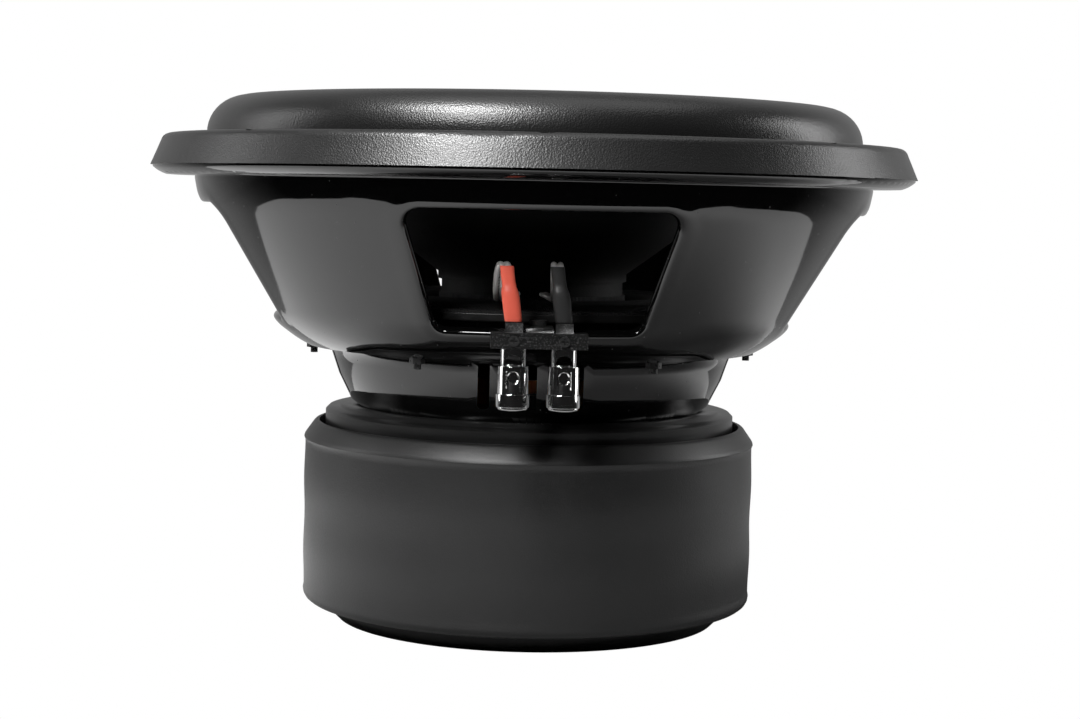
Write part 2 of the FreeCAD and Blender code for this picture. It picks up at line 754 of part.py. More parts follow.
def make_spider_ring():
    """Channel-section ring that spaces the two spiders; its foot is screwed to the basket's shelf."""
    body = revolve("spider_ring", [
        ("ring_bore_r", RING_FOOT),
        ("ring_foot_r", RING_FOOT),
        ("ring_foot_r", f"{RING_FOOT} + ring_foot_thick"),
        ("ring_web_r", f"{RING_FOOT} + ring_foot_thick"),
        ("ring_web_r", f"{RING_TOP} - ring_rim_thick"),
        ("ring_rim_r", f"{RING_TOP} - ring_rim_thick"),
        ("ring_rim_r", RING_TOP),
        ("ring_bore_r", RING_TOP),
    ])
    sketch = new_sketch(body, "XY_Plane", f"{RING_FOOT} + ring_foot_thick")
    circle(sketch, "ring_screw_circle_r", "0", "ring_screw_r + screw_clearance")
    polar(body, [pocket(body, sketch)], RING_SCREW_COUNT)
    return body


def make_ring_screws():
    """Six small screws down through the ring's foot and the shelf."""
    seat = f"({RING_FOOT} + ring_foot_thick)"
    tip = f"({LAND} + shelf_height - nut_height - ring_screw_tip)"
    profile = [("ring_screw_r", tip, seat), ("ring_screw_head_r", seat, f"{seat} + ring_screw_head")]
    return around("spider_ring_screws", lambda name, x, y: screw_at(name, profile, x, y),
                  "ring_screw_circle_r", RING_SCREW_COUNT)


def make_ring_nuts():
    """Hexagon nuts under the shelf."""
    bottom = f"({LAND} + shelf_height - nut_height)"

    def nut(name, across, deep):
        hexagon = primitive("Prism", f"{name}_hexagon",
                            {"Circumradius": "nut_circumradius", "Height": "nut_height"},
                            across, deep, bottom)
        thread = primitive("Cylinder", f"{name}_thread",
                           {"Radius": "ring_screw_r", "Height": "nut_height"}, across, deep, bottom)
        return cut_away(f"{name}_nut", hexagon, [thread])

    return around("spider_ring_nuts", nut, "ring_screw_circle_r", RING_SCREW_COUNT)


# ---- suspension, cone and cap --------------------------------------------------------------------

def corrugated_disc(level, landing_r):
    """Spider: flat landing, six half waves of tangent arcs and an upturned neck, as a turned sheet."""
    roll, wave, thick = value_of(SPIDER_ROLL), value_of("spider_wave"), value_of("spider_thick")
    start, neck = value_of(SPIDER_START), value_of(f"{COLLAR_R} + glue_gap")
    middle = level + thick / 2
    radius = (wave ** 2 + (roll / 2) ** 2) / (2 * wave)
    sunk = radius - wave
    lean = math.asin(roll / 2 / radius)

    def face_line(offset):
        """Edges along one face of the cloth, from the neck outwards, offset from its middle."""
        edges, last = [], None
        for number in range(6):
            side = -1 if number % 2 == 0 else 1
            centre = FreeCAD.Vector(start + roll * (number + 0.5), 0, middle - side * sunk)
            reach = radius + side * offset
            spots = [centre + FreeCAD.Vector(math.sin(a), 0, side * math.cos(a)) * reach
                     for a in (-lean, 0.0, lean)]
            if last is None:
                first = spots[0]
            edges.append(Part.Arc(*spots).toShape())
            last = spots[2]
        return edges, first, last

    top, top_in, top_out = face_line(thick / 2)
    under, under_in, under_out = face_line(-thick / 2)
    rim = value_of(landing_r)
    height = value_of("spider_neck")
    outer = [top_out, FreeCAD.Vector(value_of("ring_bore_r") + 1, 0, level + thick),
             FreeCAD.Vector(rim, 0, level + thick), FreeCAD.Vector(rim, 0, level),
             FreeCAD.Vector(value_of("ring_bore_r") + 1, 0, level), under_out]
    inner = [under_in, FreeCAD.Vector(start - 0.8, 0, level), FreeCAD.Vector(neck, 0, level),
             FreeCAD.Vector(neck, 0, level + height), FreeCAD.Vector(neck + thick, 0, level + height),
             FreeCAD.Vector(neck + thick, 0, level + thick),
             FreeCAD.Vector(start - 0.8, 0, level + thick), top_in]
    lines = [Part.LineSegment(a, b).toShape()
             for chain in (outer, inner) for a, b in zip(chain, chain[1:])]
    wire = Part.Wire(Part.__sortEdges__(top + under + lines))
    return Part.Face(wire).revolve(FreeCAD.Vector(), FreeCAD.Vector(0, 0, 1), 360)


def make_spiders():
    """Two woven spiders; the lower one is clamped under the ring and has its screw holes."""
    upper = doc.addObject("Part::Feature", "spider_upper")
    upper.Shape = corrugated_disc(value_of(RING_TOP), "ring_rim_r - 0.5")
    lower = doc.addObject("Part::Feature", "spider_lower")
    sheet_shape = corrugated_disc(value_of(SHELF_TOP), "ring_foot_r")
    circle_r, hole_r = value_of("ring_screw_circle_r"), value_of("ring_screw_r + screw_clearance")
    for number in range(RING_SCREW_COUNT):
        angle = math.radians(360 * number / RING_SCREW_COUNT)
        foot = FreeCAD.Vector(circle_r * math.cos(angle), circle_r * math.sin(angle), value_of(LAND))
        hole = Part.makeCylinder(hole_r, value_of(RING_TOP) - foot.z, foot)
        sheet_shape = sheet_shape.cut(hole)
    lower.Shape = sheet_shape
    return [upper, lower]


def make_cone():
    """Straight-sided pulp cone with a short neck glued on the collar."""
    outside = f"({COLLAR_R} + cone_wall)"
    return revolve("cone", [
        (COLLAR_R, CONE_BOTTOM),
        (outside, CONE_BOTTOM),
        (outside, CONE_START),
        ("cone_r", f"{CONE_START} + {CONE_DEPTH}"),
        ("cone_r", f"{CONE_START} + {CONE_DEPTH} + cone_wall"),
        (outside, f"{CONE_START} + cone_wall"),
        (COLLAR_R, f"{CONE_START} + cone_wall"),
    ])


def make_dust_cap():
    """Shallow domed cap glued on the cone."""
    edge = cone_surface("cap_r")
    dome = "((cap_r ^ 2 + cap_rise ^ 2) / (2 * cap_rise))"
    inner = "(cap_r - 1.5 * cap_wall)"
    drop = "(cap_rise - cap_wall)"
    inner_dome = f"(({inner} ^ 2 + {drop} ^ 2) / (2 * {drop}))"
    return revolve("dust_cap", [
        ("0", f"{edge} + cap_rise - cap_wall", inner_dome, 1),
        (inner, edge),
        ("cap_r", edge, dome, -1),
        ("0", f"{edge} + cap_rise"),
    ])


def make_surround():
    """High half roll from the flange over to the cone's edge, with a flat lip at each foot."""
    centre_r = "(surround_r - surround_roll)"
    level = f"({FLANGE_TOP} + surround_centre_height)"
    foot_in = f"({centre_r} - surround_roll)"
    inside = "(surround_roll - surround_wall)"
    lip_end = f"({foot_in} - surround_land)"
    lip_top = f"(glue_gap + surround_lip_thick)"
    return revolve("surround", [
        ("surround_lip_r", FLANGE_TOP),
        ("surround_lip_r", f"{FLANGE_TOP} + surround_lip_thick"),
        ("surround_r", f"{FLANGE_TOP} + surround_lip_thick"),
        ("surround_r", level, "surround_roll * 1.000001", -1),
        (centre_r, f"{level} + surround_roll", "surround_roll * 1.000001", -1),
        (foot_in, level),
        (foot_in, f"{cone_surface(foot_in)} + {lip_top}"),
        (lip_end, f"{cone_surface(lip_end)} + {lip_top}"),
        (lip_end, f"{cone_surface(lip_end)} + glue_gap"),
        (f"{foot_in} + surround_wall", f"{cone_surface(foot_in + ' + surround_wall')} + glue_gap"),
        (f"{foot_in} + surround_wall", level, f"{inside} * 1.000001", 1),
        (centre_r, f"{level} + {inside}", f"{inside} * 1.000001", 1),
        (f"surround_r - surround_wall", level),
        (f"surround_r - surround_wall", FLANGE_TOP),
    ])


def make_gasket():
    """Thick rubber trim ring over the flange, rebated for the surround's lip, with eight bolt holes."""
    bore = "(surround_r + gasket_gap)"
    rebate = f"({FLANGE_TOP} + surround_lip_thick)"
    top = f"({FLANGE_TOP} + gasket_height)"
    body = revolve("gasket", [
        ("surround_lip_r + gasket_gap", FLANGE_TOP),
        ("gasket_r", FLANGE_TOP),
        ("gasket_top_r", f"{top} - gasket_edge", "gasket_round", -1),
        ("gasket_crown_r", top),
        (f"{bore} + 1", top),
        (bore, f"{top} - 1"),
        (bore, rebate),
        ("surround_lip_r + gasket_gap", rebate),
    ])
    sketch = new_sketch(body, "XY_Plane")
    circle(sketch, "bolt_circle_r", "0", "gasket_hole_r")
    polar(body, [pocket(body, sketch, flipped=True)], BOLT_COUNT)
    return body


# ---- terminals -----------------------------------------------------------------------------------

def make_bracket(side, turn):
    """Moulded crossbar with two posts and a tongue that is screwed down inside the window."""
    front = "(-terminal_reach - bar_depth / 2)"
    bar = block(f"bar_{side}", "bar_length", "bar_depth", "bar_height", "0", front, BAR_LOW)
    tongue_length = "(terminal_reach - tongue_end)"
    tongue = block(f"tongue_{side}", "tongue_width", tongue_length, "tongue_thick", "0",
                   "-terminal_reach", SILL)
    solids, holes = [bar, tongue], []
    for hand in (-1, 1):
        across = f"({hand} * terminal_half_pitch)"
        solids.append(block(f"post_{side}_{hand + 1}", "post_width", "post_depth", "post_height", across,
                            "-terminal_reach - post_depth / 2", BAR_TOP))
        holes.append(primitive("Cylinder", f"barrel_seat_{side}_{hand + 1}",
                               {"Radius": "barrel_r", "Height": "barrel_seat"},
                               across, "-terminal_reach", BAR_LOW))
        holes.append(primitive("Cylinder", f"clamp_hole_{side}_{hand + 1}",
                               {"Radius": "clamp_screw_r", "Height": "bar_depth / 2"},
                               across, front, f"{BAR_LOW} + bar_height / 2", lying=True))
    holes.append(primitive("Cylinder", f"tongue_hole_{side}",
                           {"Radius": "tongue_screw_r + screw_clearance", "Height": "tongue_thick"},
                           "0", "-tongue_screw_at", SILL))
    piece = cut_away(f"bracket_{side}", joined(f"moulding_{side}", solids), holes)
    place(piece, turn=turn)
    return piece


def cross_slots(name, across, deep, up, reach, lying):
    """Two crossed boxes that cut a driver recess; they lie on a head that faces +Z, or -Y if lying."""
    width, depth = "driver_slot", "driver_slot"
    slots = []
    for number, (along, over) in enumerate(((reach, width), (width, reach))):
        if lying:
            slots.append(block(f"{name}_{number}", along, depth, over, across, deep,
                               f"{up} - ({over}) / 2"))
        else:
            slots.append(block(f"{name}_{number}", along, over, depth, across,
                               f"{deep} - ({over}) / 2", up))
    return slots


def make_clamp_screws(side, turn):
    """Two cross-head screws through the bar's front into the barrels."""
    front = "(-terminal_reach - bar_depth / 2)"
    level = f"{BAR_LOW} + bar_height / 2"
    screws = []
    for hand in (-1, 1):
        across, name = f"({hand} * terminal_half_pitch)", f"clamp_{side}_{hand + 1}"
        shank = primitive("Cylinder", f"{name}_shank",
                          {"Radius": "clamp_screw_r", "Height": "clamp_screw_length"},
                          across, front, level, lying=True)
        head = primitive("Cylinder", f"{name}_head",
                         {"Radius": "clamp_screw_head_r", "Height": "clamp_screw_head"},
                         across, f"{front} - clamp_screw_head", level, lying=True)
        recess = cross_slots(f"{name}_recess", across, f"{front} - clamp_screw_head", level,
                             "clamp_screw_head_r * 1.3", True)
        screws.append(cut_away(f"{name}_screw", joined(name, [shank, head]), recess))
    piece = group(f"clamp_screws_{side}", screws)
    place(piece, turn=turn)
    return piece


def make_tongue_screw(side, turn):
    """Screw that holds the bracket's tongue down on the basket's boss."""
    seat = f"({SILL} + tongue_thick)"
    name = f"tongue_screw_{side}"
    profile = [("tongue_screw_r", f"{seat} - tongue_screw_depth", seat),
               ("tongue_screw_head_r", seat, f"{seat} + tongue_screw_head")]
    whole = screw_at(f"{name}_whole", profile, "0", "-tongue_screw_at")
    recess = cross_slots(f"{name}_recess", "0", "-tongue_screw_at",
                         f"{seat} + tongue_screw_head - driver_slot", "tongue_screw_head_r * 1.3", False)
    piece = cut_away(name, whole, recess)
    place(piece, turn=turn)
    return piece


def drill_bosses(body):
    """Pilot holes for the tongue screws in the basket's two bosses."""
    sketch = new_sketch(body, "XY_Plane", SILL)
    circle(sketch, "0", "-tongue_screw_at", "tongue_screw_r")
    feature = body.newObject("PartDesign::Pocket", "pilot_hole")
    feature.Profile = sketch
    bind(feature, "Length", "tongue_screw_depth - tongue_thick")
    doc.recompute()
    polar(body, [feature], 2)


def make_barrel(name):
    """Fixed barrel: a cross hole for the wire, a tapped hole for the clamp screw, a spring seat below."""
    tube = primitive("Cylinder", f"{name}_tube", {"Radius": "barrel_r", "Height": "barrel_height"},
                     up=BARREL_BOTTOM)
    bore = primitive("Cylinder", f"{name}_bore",
                     {"Radius": "barrel_spring_bore_r", "Height": "barrel_spring_depth"}, up=BARREL_BOTTOM)
    wire = primitive("Cylinder", f"{name}_wire", {"Radius": "wire_hole_r", "Height": "4 * barrel_r"},
                     deep="-2 * barrel_r", up=WIRE_HOLE, lying=True)
    thread = primitive("Cylinder", f"{name}_thread",
                       {"Radius": "clamp_screw_r", "Height": "clamp_screw_length"},
                       deep="-bar_depth / 2", up=f"{BAR_LOW} + bar_height / 2", lying=True)
    return cut_away(f"{name}_piece", tube, [bore, wire, thread])


def make_push_sleeve(name):
    """Sprung sleeve over the barrel, with a grip ring at the bottom and a wire hole."""
    bore = "(barrel_r + slide_clearance)"
    grip_top = f"({SLEEVE_BOTTOM} + grip_height)"
    body = revolve(name, [
        (bore, SLEEVE_BOTTOM),
        ("grip_r", SLEEVE_BOTTOM),
        ("grip_r", grip_top),
        (f"{bore} + sleeve_shell", grip_top),
        (f"{bore} + sleeve_shell", SLEEVE_TOP),
        (bore, SLEEVE_TOP),
    ])
    sketch = new_sketch(body, "XZ_Plane")
    circle(sketch, "0", f"{WIRE_HOLE} - push_travel", "push_hole_r")
    pocket(body, sketch, both_ways=True)
    return body


def make_end_cap(name):
    """Turned plug that closes the sleeve and pushes on the spring."""
    return revolve(name, [
        ("0", f"{SLEEVE_BOTTOM} - end_cap_height"),
        ("end_cap_r - 0.5", f"{SLEEVE_BOTTOM} - end_cap_height"),
        ("end_cap_r", f"{SLEEVE_BOTTOM} - end_cap_height + 0.5"),
        ("end_cap_r", SLEEVE_BOTTOM),
        ("barrel_r + slide_clearance", SLEEVE_BOTTOM),
        ("barrel_r + slide_clearance", f"{SLEEVE_BOTTOM} + end_cap_plug"),
        ("0", f"{SLEEVE_BOTTOM} + end_cap_plug"),
    ])


def make_spring(name):
    """Coil spring between the end cap and the barrel's inner shoulder."""
    low = f"({SLEEVE_BOTTOM} + end_cap_plug + 2 * spring_wire_r)"
    high = f"({BARREL_BOTTOM} + barrel_spring_depth - 2 * spring_wire_r)"
    helix = doc.addObject("Part::Helix", f"{name}_helix")
    bind(helix, "Radius", "spring_r")
    bind(helix, "Height", f"{high} - {low}")
    bind(helix, "Pitch", f"({high} - {low}) / spring_turns")
    bind(helix, "Placement.Base.z", low)
    section = doc.addObject("Part::Circle", f"{name}_section")
    bind(section, "Radius", "spring_wire_r")
    section.Placement.Rotation = FreeCAD.Rotation(FreeCAD.Vector(1, 0, 0), 90)
    bind(section, "Placement.Base.x", "spring_r")
    bind(section, "Placement.Base.z", low)
    sweep = doc.addObject("Part::Sweep", f"{name}_coil")
    sweep.Sections = [section]
    sweep.Spine = (helix, [])
    sweep.Solid = True
    sweep.Frenet = True
    doc.recompute()
    return sweep


def make_lug(name):
    """Flat solder lug that stands on the post."""
    return block(name, "lug_width", "lug_thick", "lug_height", "0", "-lug_thick / 2", POST_TOP)


def rounded_route(points):
    """A wire of straight runs joined by tangent arcs, each 0.45 of the shorter run at its corner."""
    edges, here = [], points[0]
    for before, corner, after in zip(points, points[1:], points[2:]):
        back, ahead = before - corner, after - corner
        reach = 0.45 * min(back.Length, ahead.Length)
        back.normalize()
        ahead.normalize()
        half = back.getAngle(ahead) / 2
        radius = reach * math.tan(half)
        centre = corner + (back + ahead).normalize() * (radius / math.sin(half))
        start, end = corner + back * reach, corner + ahead * reach
        middle = centre + (corner - centre).normalize() * radius
        edges += [Part.LineSegment(here, start).toShape(), Part.Arc(start, middle, end).toShape()]
        here = end
    edges.append(Part.LineSegment(here, points[-1]).toShape())
    return Part.Wire(edges)


def tube_along(points, radius):
    """A round bar along a route, checked against its section times its length."""
    wire = rounded_route(points)
    first = wire.Edges[0]
    section = Part.Wire(Part.makeCircle(radius, points[0], first.tangentAt(first.FirstParameter)))
    tube = wire.makePipeShell([section], True, True)
    expected = math.pi * radius ** 2 * wire.Length
    if abs(tube.Volume - expected) > 0.02 * expected:
        raise RuntimeError("a lead's tube has lost its section")
    return tube


# Each strand's centre line, the pair side by side. The first three points are (across, inwards, up) from
# the top of the terminal's post; the others are (across, outwards, up) from the top edge of the spider ring.
LEAD_RISE = {
    "red": [(-1.9, 0.0, 11.5), (-2.9, 0.4, 18.9), (-4.3, 6.5, 22.6)],
    "black": [(-1.9, 0.0, 11.5), (-2.8, 0.4, 18.9), (-3.1, 6.5, 22.8)],
}
LEAD_FALL = {
    "red": [(-5.6, 4.5, 16.4), (-5.8, -2.0, 8.0), (-5.3, -10.0, 5.4)],
    "black": [(-2.9, 4.5, 16.4), (-2.5, -2.0, 8.0), (-2.4, -10.0, 5.4)],
}
LEAD_JOIN = 0.6                 # the fixed and the woven lengths of a strand end this far apart


def strand_points(colour, hand, strand):
    """One strand's route in the driver's frame, before its side's turn."""
    middle = hand * value_of("terminal_half_pitch") + strand * value_of("lead_spacing") / 2
    reach, post = value_of("terminal_reach"), value_of(POST_TOP)
    rise = [FreeCAD.Vector(middle + across, inwards - reach, post + up)
            for across, inwards, up in LEAD_RISE[colour]]
    edge, ring = value_of("ring_foot_r"), value_of(RING_TOP)
    fall = [FreeCAD.Vector(middle + across, -edge - outwards, ring + up)
            for across, outwards, up in LEAD_FALL[colour]]
    return rise + fall


def make_lead_pair(name, colour, hand, turn):
    """Two braided strands from the lug over to the upper spider."""
    radius = value_of("lead_r")
    piece = doc.addObject("Part::Feature", name)
    piece.Shape = Part.makeCompound([tube_along(strand_points(colour, hand, s), radius) for s in (-1, 1)])
    piece.Placement.Rotation = FreeCAD.Rotation(FreeCAD.Vector(0, 0, 1), turn)
    return piece


def make_spider_leads(sides):
    """The same strands carried straight in over the upper spider to the former."""
    radius = value_of("lead_r")
    stop = value_of(f"{COLLAR_R} + glue_gap") + 3 * radius
    tubes = []
    for turn in sides.values():
        for colour, hand in (("red", -1), ("black", 1)):
            for strand in (-1, 1):
                start = strand_points(colour, hand, strand)[-1]
                end = FreeCAD.Vector(start.x * 0.5, -stop, start.z)
                inward = (end - start).normalize()
                start += inward * LEAD_JOIN
                tube = Part.makeCylinder(radius, (end - start).Length, start, inward)
                tube.rotate(FreeCAD.Vector(), FreeCAD.Vector(0, 0, 1), turn)
                tubes.append(tube)
    piece = doc.addObject("Part::Feature", "spider_leads")
    piece.Shape = Part.makeCompound(tubes)
    return piece


def make_heat_shrink(name, colour, hand, turn, lug):
    """Shrunk tube over the lug and both strands: wide below, a narrower neck above, leaning aside."""
    post, start = value_of(POST_TOP), hand * value_of("terminal_half_pitch")
    reach, height = value_of("terminal_reach"), value_of("heat_shrink_height")
    sections = []
    for up, lean, wide, deep in ((0.4, -0.3, 3.2, 2.0), (12.0, -1.9, 3.15, 2.1), (15.5, -2.4, 2.75, 1.75),
                                 (height, -3.1, 2.7, 1.7)):
        centre = FreeCAD.Vector(start + lean, -reach, post + up)
        oval = Part.Ellipse(centre + FreeCAD.Vector(wide, 0, 0), centre + FreeCAD.Vector(0, deep, 0), centre)
        sections.append(Part.Wire(oval.toShape()))
    solid = Part.makeLoft(sections, True, True)
    radius = value_of("lead_r")
    for strand in (-1, 1):
        solid = solid.cut(tube_along(strand_points(colour, hand, strand), radius))
    stem = lug.Shape.copy()
    stem.Placement = FreeCAD.Placement()
    inside = Part.makeBox(value_of("lug_width"), value_of("lug_thick"), value_of("lug_height"),
                          FreeCAD.Vector(start - value_of("lug_width") / 2,
                                         -reach - value_of("lug_thick") / 2, post))
    piece = doc.addObject("Part::Feature", name)
    piece.Shape = solid.cut(inside)
    piece.Placement.Rotation = FreeCAD.Rotation(FreeCAD.Vector(0, 0, 1), turn)
    return piece


def make_terminal_side(side, turn):
    """One pair of spring terminals on its bracket, red on the left as seen from outside."""
    keep(make_bracket(side, turn), f"bracket_{side}")
    keep(make_clamp_screws(side, turn), f"clamp_screws_{side}")
    keep(make_tongue_screw(side, turn), f"tongue_screw_{side}")
    for colour, hand in (("red", -1), ("black", 1)):
        tag = f"{side}_{colour}"
        across = f"{hand} * terminal_half_pitch"
        lug = make_lug(f"lug_{tag}")
        for maker, label in ((make_barrel, "barrel"), (make_push_sleeve, "push_sleeve"),
                             (make_end_cap, "end_cap"), (make_spring, "spring")):
            piece = keep(maker(f"{label}_{tag}"), f"{label}_{tag}")
            place(piece, across, "-terminal_reach", turn=turn)
        place_lug(lug, across, turn)
        keep(lug, f"lug_{tag}")
        keep(make_heat_shrink(f"heat_shrink_{tag}", colour, hand, turn, lug), f"heat_shrink_{tag}")
        keep(make_lead_pair(f"lead_pair_{tag}", colour, hand, turn), f"lead_pair_{tag}")


def place_lug(lug, across, turn):
    """The lug's box keeps its own offset, so it is placed by its corner."""
    corner_x, corner_y = f"({across} - lug_width / 2)", "(-terminal_reach - lug_thick / 2)"
    flip = 1 if turn == 0 else -1
    bind(lug, "Placement.Base.x", f"{flip} * {corner_x}")
    bind(lug, "Placement.Base.y", f"{flip} * {corner_y}")
    lug.Placement.Rotation = FreeCAD.Rotation(FreeCAD.Vector(0, 0, 1), turn)


# ---- build ---------------------------------------------------------------------------------------

def build():
    fill_sheet()
    singles = [make_yoke(), make_shorting_sleeve(), *make_magnets(), make_top_plate(), make_boot(),
               make_vent_screen(), *make_coil()]
    basket = make_basket()
    drill_bosses(basket)
    singles += [basket, make_base_bolts(), make_spider_ring(), make_ring_screws(), make_ring_nuts(),
                *make_spiders(), make_cone(), make_dust_cap(), make_surround(), make_gasket()]
    for piece in singles:
        keep(piece, piece.Label)
    sides = {"front": 0, "back": 180}
    for side, turn in sides.items():
        make_terminal_side(side, turn)
    keep(make_spider_leads(sides), "spider_leads")
    doc.recompute()


def write_out():
    """Checks every object, then writes one STEP file for each sub-part."""
    failed = [o.Label for o in doc.Objects if {"Invalid", "Error"} & set(o.State)]
    bad = [p.Label for p in SUB_PARTS if p.Shape.isNull() or not p.Shape.isValid() or not p.Shape.Solids]
    if failed or bad:
        raise SystemExit(f"failed objects {failed}, bad shapes {bad}")
    os.makedirs("parts", exist_ok=True)
    for piece in SUB_PARTS:
        piece.Shape.exportStep(os.path.join("parts", f"{piece.Label}.step"))
    print(len(SUB_PARTS), "sub-parts written")


build()
write_out()
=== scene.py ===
"""Looks of a twelve-inch car subwoofer driver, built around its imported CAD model. Metres, +Z up the axis."""
import json
import math

import bmesh
import bpy
from mathutils import Matrix, Vector


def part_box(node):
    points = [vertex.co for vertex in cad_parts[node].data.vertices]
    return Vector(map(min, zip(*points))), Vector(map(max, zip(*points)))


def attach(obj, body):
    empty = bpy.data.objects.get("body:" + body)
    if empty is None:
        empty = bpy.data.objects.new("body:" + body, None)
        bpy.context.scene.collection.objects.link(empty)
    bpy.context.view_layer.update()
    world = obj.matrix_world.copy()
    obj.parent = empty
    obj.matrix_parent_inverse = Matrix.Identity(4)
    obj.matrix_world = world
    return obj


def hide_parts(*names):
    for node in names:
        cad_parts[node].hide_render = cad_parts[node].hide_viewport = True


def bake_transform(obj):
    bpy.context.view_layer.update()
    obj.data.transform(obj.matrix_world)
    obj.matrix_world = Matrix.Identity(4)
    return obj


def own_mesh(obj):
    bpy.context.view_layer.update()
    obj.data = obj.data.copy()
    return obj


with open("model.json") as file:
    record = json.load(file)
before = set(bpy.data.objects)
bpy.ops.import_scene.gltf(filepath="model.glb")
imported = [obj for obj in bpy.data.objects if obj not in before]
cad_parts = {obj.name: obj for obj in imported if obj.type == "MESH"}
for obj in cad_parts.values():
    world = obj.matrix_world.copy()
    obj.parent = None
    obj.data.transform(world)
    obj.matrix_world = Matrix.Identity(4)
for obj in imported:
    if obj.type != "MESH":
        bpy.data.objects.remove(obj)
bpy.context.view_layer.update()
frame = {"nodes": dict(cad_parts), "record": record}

# ---- Camera --------------------------------------------------------------------------------------
# A long lens looks at the driver from just under the height of its flange, a touch left of the
# front terminals, tipped down a little and not quite level.

camera_distance = 0.906
camera_height = 0.1791
camera_swing = math.radians(-1.5)
camera_yaw = math.radians(0.26)
camera_pitch = math.radians(4.37)
camera_roll = math.radians(1.27)

camera_data = bpy.data.cameras.new("camera")
camera_data.lens = 70.63
camera_data.sensor_width = 36.0
camera = bpy.data.objects.new("camera", camera_data)
bpy.context.scene.collection.objects.link(camera)
camera.matrix_world = (
    Matrix.Rotation(camera_swing, 4, "Z")
    @ Matrix.Translation((0.0, -camera_distance, camera_height))
    @ Matrix.Rotation(-camera_yaw, 4, "Z")
    @ Matrix.Rotation(math.pi / 2 - camera_pitch, 4, "X")
    @ Matrix.Rotation(camera_roll, 4, "Z")
)
bpy.context.scene.camera = camera

# ---- Studio --------------------------------------------------------------------------------------
# An oval paper board that burns out to white, in a room that is dark in front and pale behind, so that
# the gloss paint and the chrome have something to reflect. A large soft light hangs overhead, two
# smaller ones over the front draw the rubber's highlights, and one on each side draws the rims.


class Wire:
    """An output socket. Arithmetic on it adds the Math nodes, so a pattern reads as an expression."""

    def __init__(self, finish, socket):
        self.finish, self.socket = finish, socket

    def math(self, operation, *values):
        return self.finish.node("ShaderNodeMath", {"operation": operation}, dict(enumerate(values)))

    def __add__(self, other):
        return self.math("ADD", self, other)

    def __sub__(self, other):
        return self.math("SUBTRACT", self, other)

    def __rsub__(self, other):
        return self.math("SUBTRACT", other, self)

    def __mul__(self, other):
        return self.math("MULTIPLY", self, other)

    __radd__, __rmul__ = __add__, __mul__

    def step(self, low, high):
        """0 below low, 1 above high and smooth between them."""
        inputs = {"Value": self, "From Min": low, "From Max": high}
        return self.finish.node("ShaderNodeMapRange", {"interpolation_type": "SMOOTHSTEP"}, inputs)

    def sine(self):
        return self.math("SINE", self)


class Finish:
    """A node material: node() adds any node, coat() sets the shader that ends it."""

    def __init__(self, name, tree_owner=None):
        owner = tree_owner or bpy.data.materials.new(name)
        owner.use_nodes = True
        self.material, self.nodes, self.links = owner, owner.node_tree.nodes, owner.node_tree.links
        self.nodes.clear()

    def node(self, kind, settings=None, inputs=None, output=0):
        made = self.nodes.new(kind)
        for name, value in (settings or {}).items():
            setattr(made, name, value)
        for name, value in (inputs or {}).items():
            if isinstance(value, Wire):
                self.links.new(value.socket, made.inputs[name])
            else:
                made.inputs[name].default_value = value
        return Wire(self, made.outputs[output]) if made.outputs else None

    def place(self):
        """Object coordinates, in metres."""
        return self.node("ShaderNodeTexCoord", output="Object")

    def noise(self, scale, detail=2.0, roughness=0.5):
        """A cloudy pattern with that many waves in a metre."""
        inputs = {"Vector": self.place(), "Scale": scale, "Detail": detail, "Roughness": roughness}
        return self.node("ShaderNodeTexNoise", None, inputs)

    def cells(self, scale, output="Distance"):
        """A pebbled pattern with that many cells in a metre."""
        return self.node("ShaderNodeTexVoronoi", None, {"Vector": self.place(), "Scale": scale}, output)

    def blend(self, factor, first, second):
        """A colour between two, where factor 0 gives the first."""
        inputs = {0: factor, 6: first, 7: second}
        return self.node("ShaderNodeMix", {"data_type": "RGBA"}, inputs, 2)

    def bump(self, height, distance, strength=1.0):
        """A normal that stands for a relief of that height."""
        inputs = {"Height": height, "Distance": distance, "Strength": strength}
        return self.node("ShaderNodeBump", None, inputs)

    def coat(self, **sockets):
        """Ends the material with a Principled shader; a name such as base_color sets Base Color."""
        named = {name.replace("_", " ").title(): value for name, value in sockets.items()}
        shader = self.node("ShaderNodeBsdfPrincipled", None, named)
        self.node("ShaderNodeOutputMaterial", None, {"Surface": shader})
        return self.material


def grey(level, warmth=0.0):
    """A near-neutral colour."""
    return (level * (1 + warmth), level, level * (1 - warmth), 1.0)


board_depth = 0.29
board_stretch = 1.38
board_drop = 0.0005
# Painted shade: round this middle the board is painted a darker grey, standing in for the driver's own shadow
# on it.
shade_middle = (0.06, -0.03, 0.0)
shade_full, shade_end = 0.12, 0.25

floor_mesh = bmesh.new()
oval = Matrix.Translation((0.0, 0.0, -board_drop)) @ Matrix.Diagonal((board_stretch, 1.0, 1.0, 1.0))
bmesh.ops.create_circle(floor_mesh, cap_ends=True, segments=96, radius=board_depth, matrix=oval)
floor_data = bpy.data.meshes.new("floor")
floor_mesh.to_mesh(floor_data)
floor_mesh.free()
floor = bpy.data.objects.new("floor", floor_data)
bpy.context.scene.collection.objects.link(floor)
paper = Finish("floor_paper")
white_paper = paper.node("ShaderNodeBsdfDiffuse", None, {"Color": grey(0.85)})
# The darker paper is a painted shade under the driver. It fades out into the white paper between shade_full
# and shade_end.
painted_shade_paper = paper.node("ShaderNodeBsdfDiffuse", None, {"Color": grey(0.2)})
away = paper.node("ShaderNodeVectorMath", {"operation": "DISTANCE"}, {0: paper.place(), 1: shade_middle},
                  "Value")
out_of_shade = away.step(shade_full, shade_end)
board = paper.node("ShaderNodeMixShader", None, {0: out_of_shade, 1: painted_shade_paper, 2: white_paper})
burnt_out = paper.node("ShaderNodeEmission", None, {"Color": grey(1.0), "Strength": 1.0})
looked_at = paper.node("ShaderNodeLightPath", output="Is Camera Ray")
sweep = paper.node("ShaderNodeMixShader", None, {0: looked_at, 1: board, 2: burnt_out})
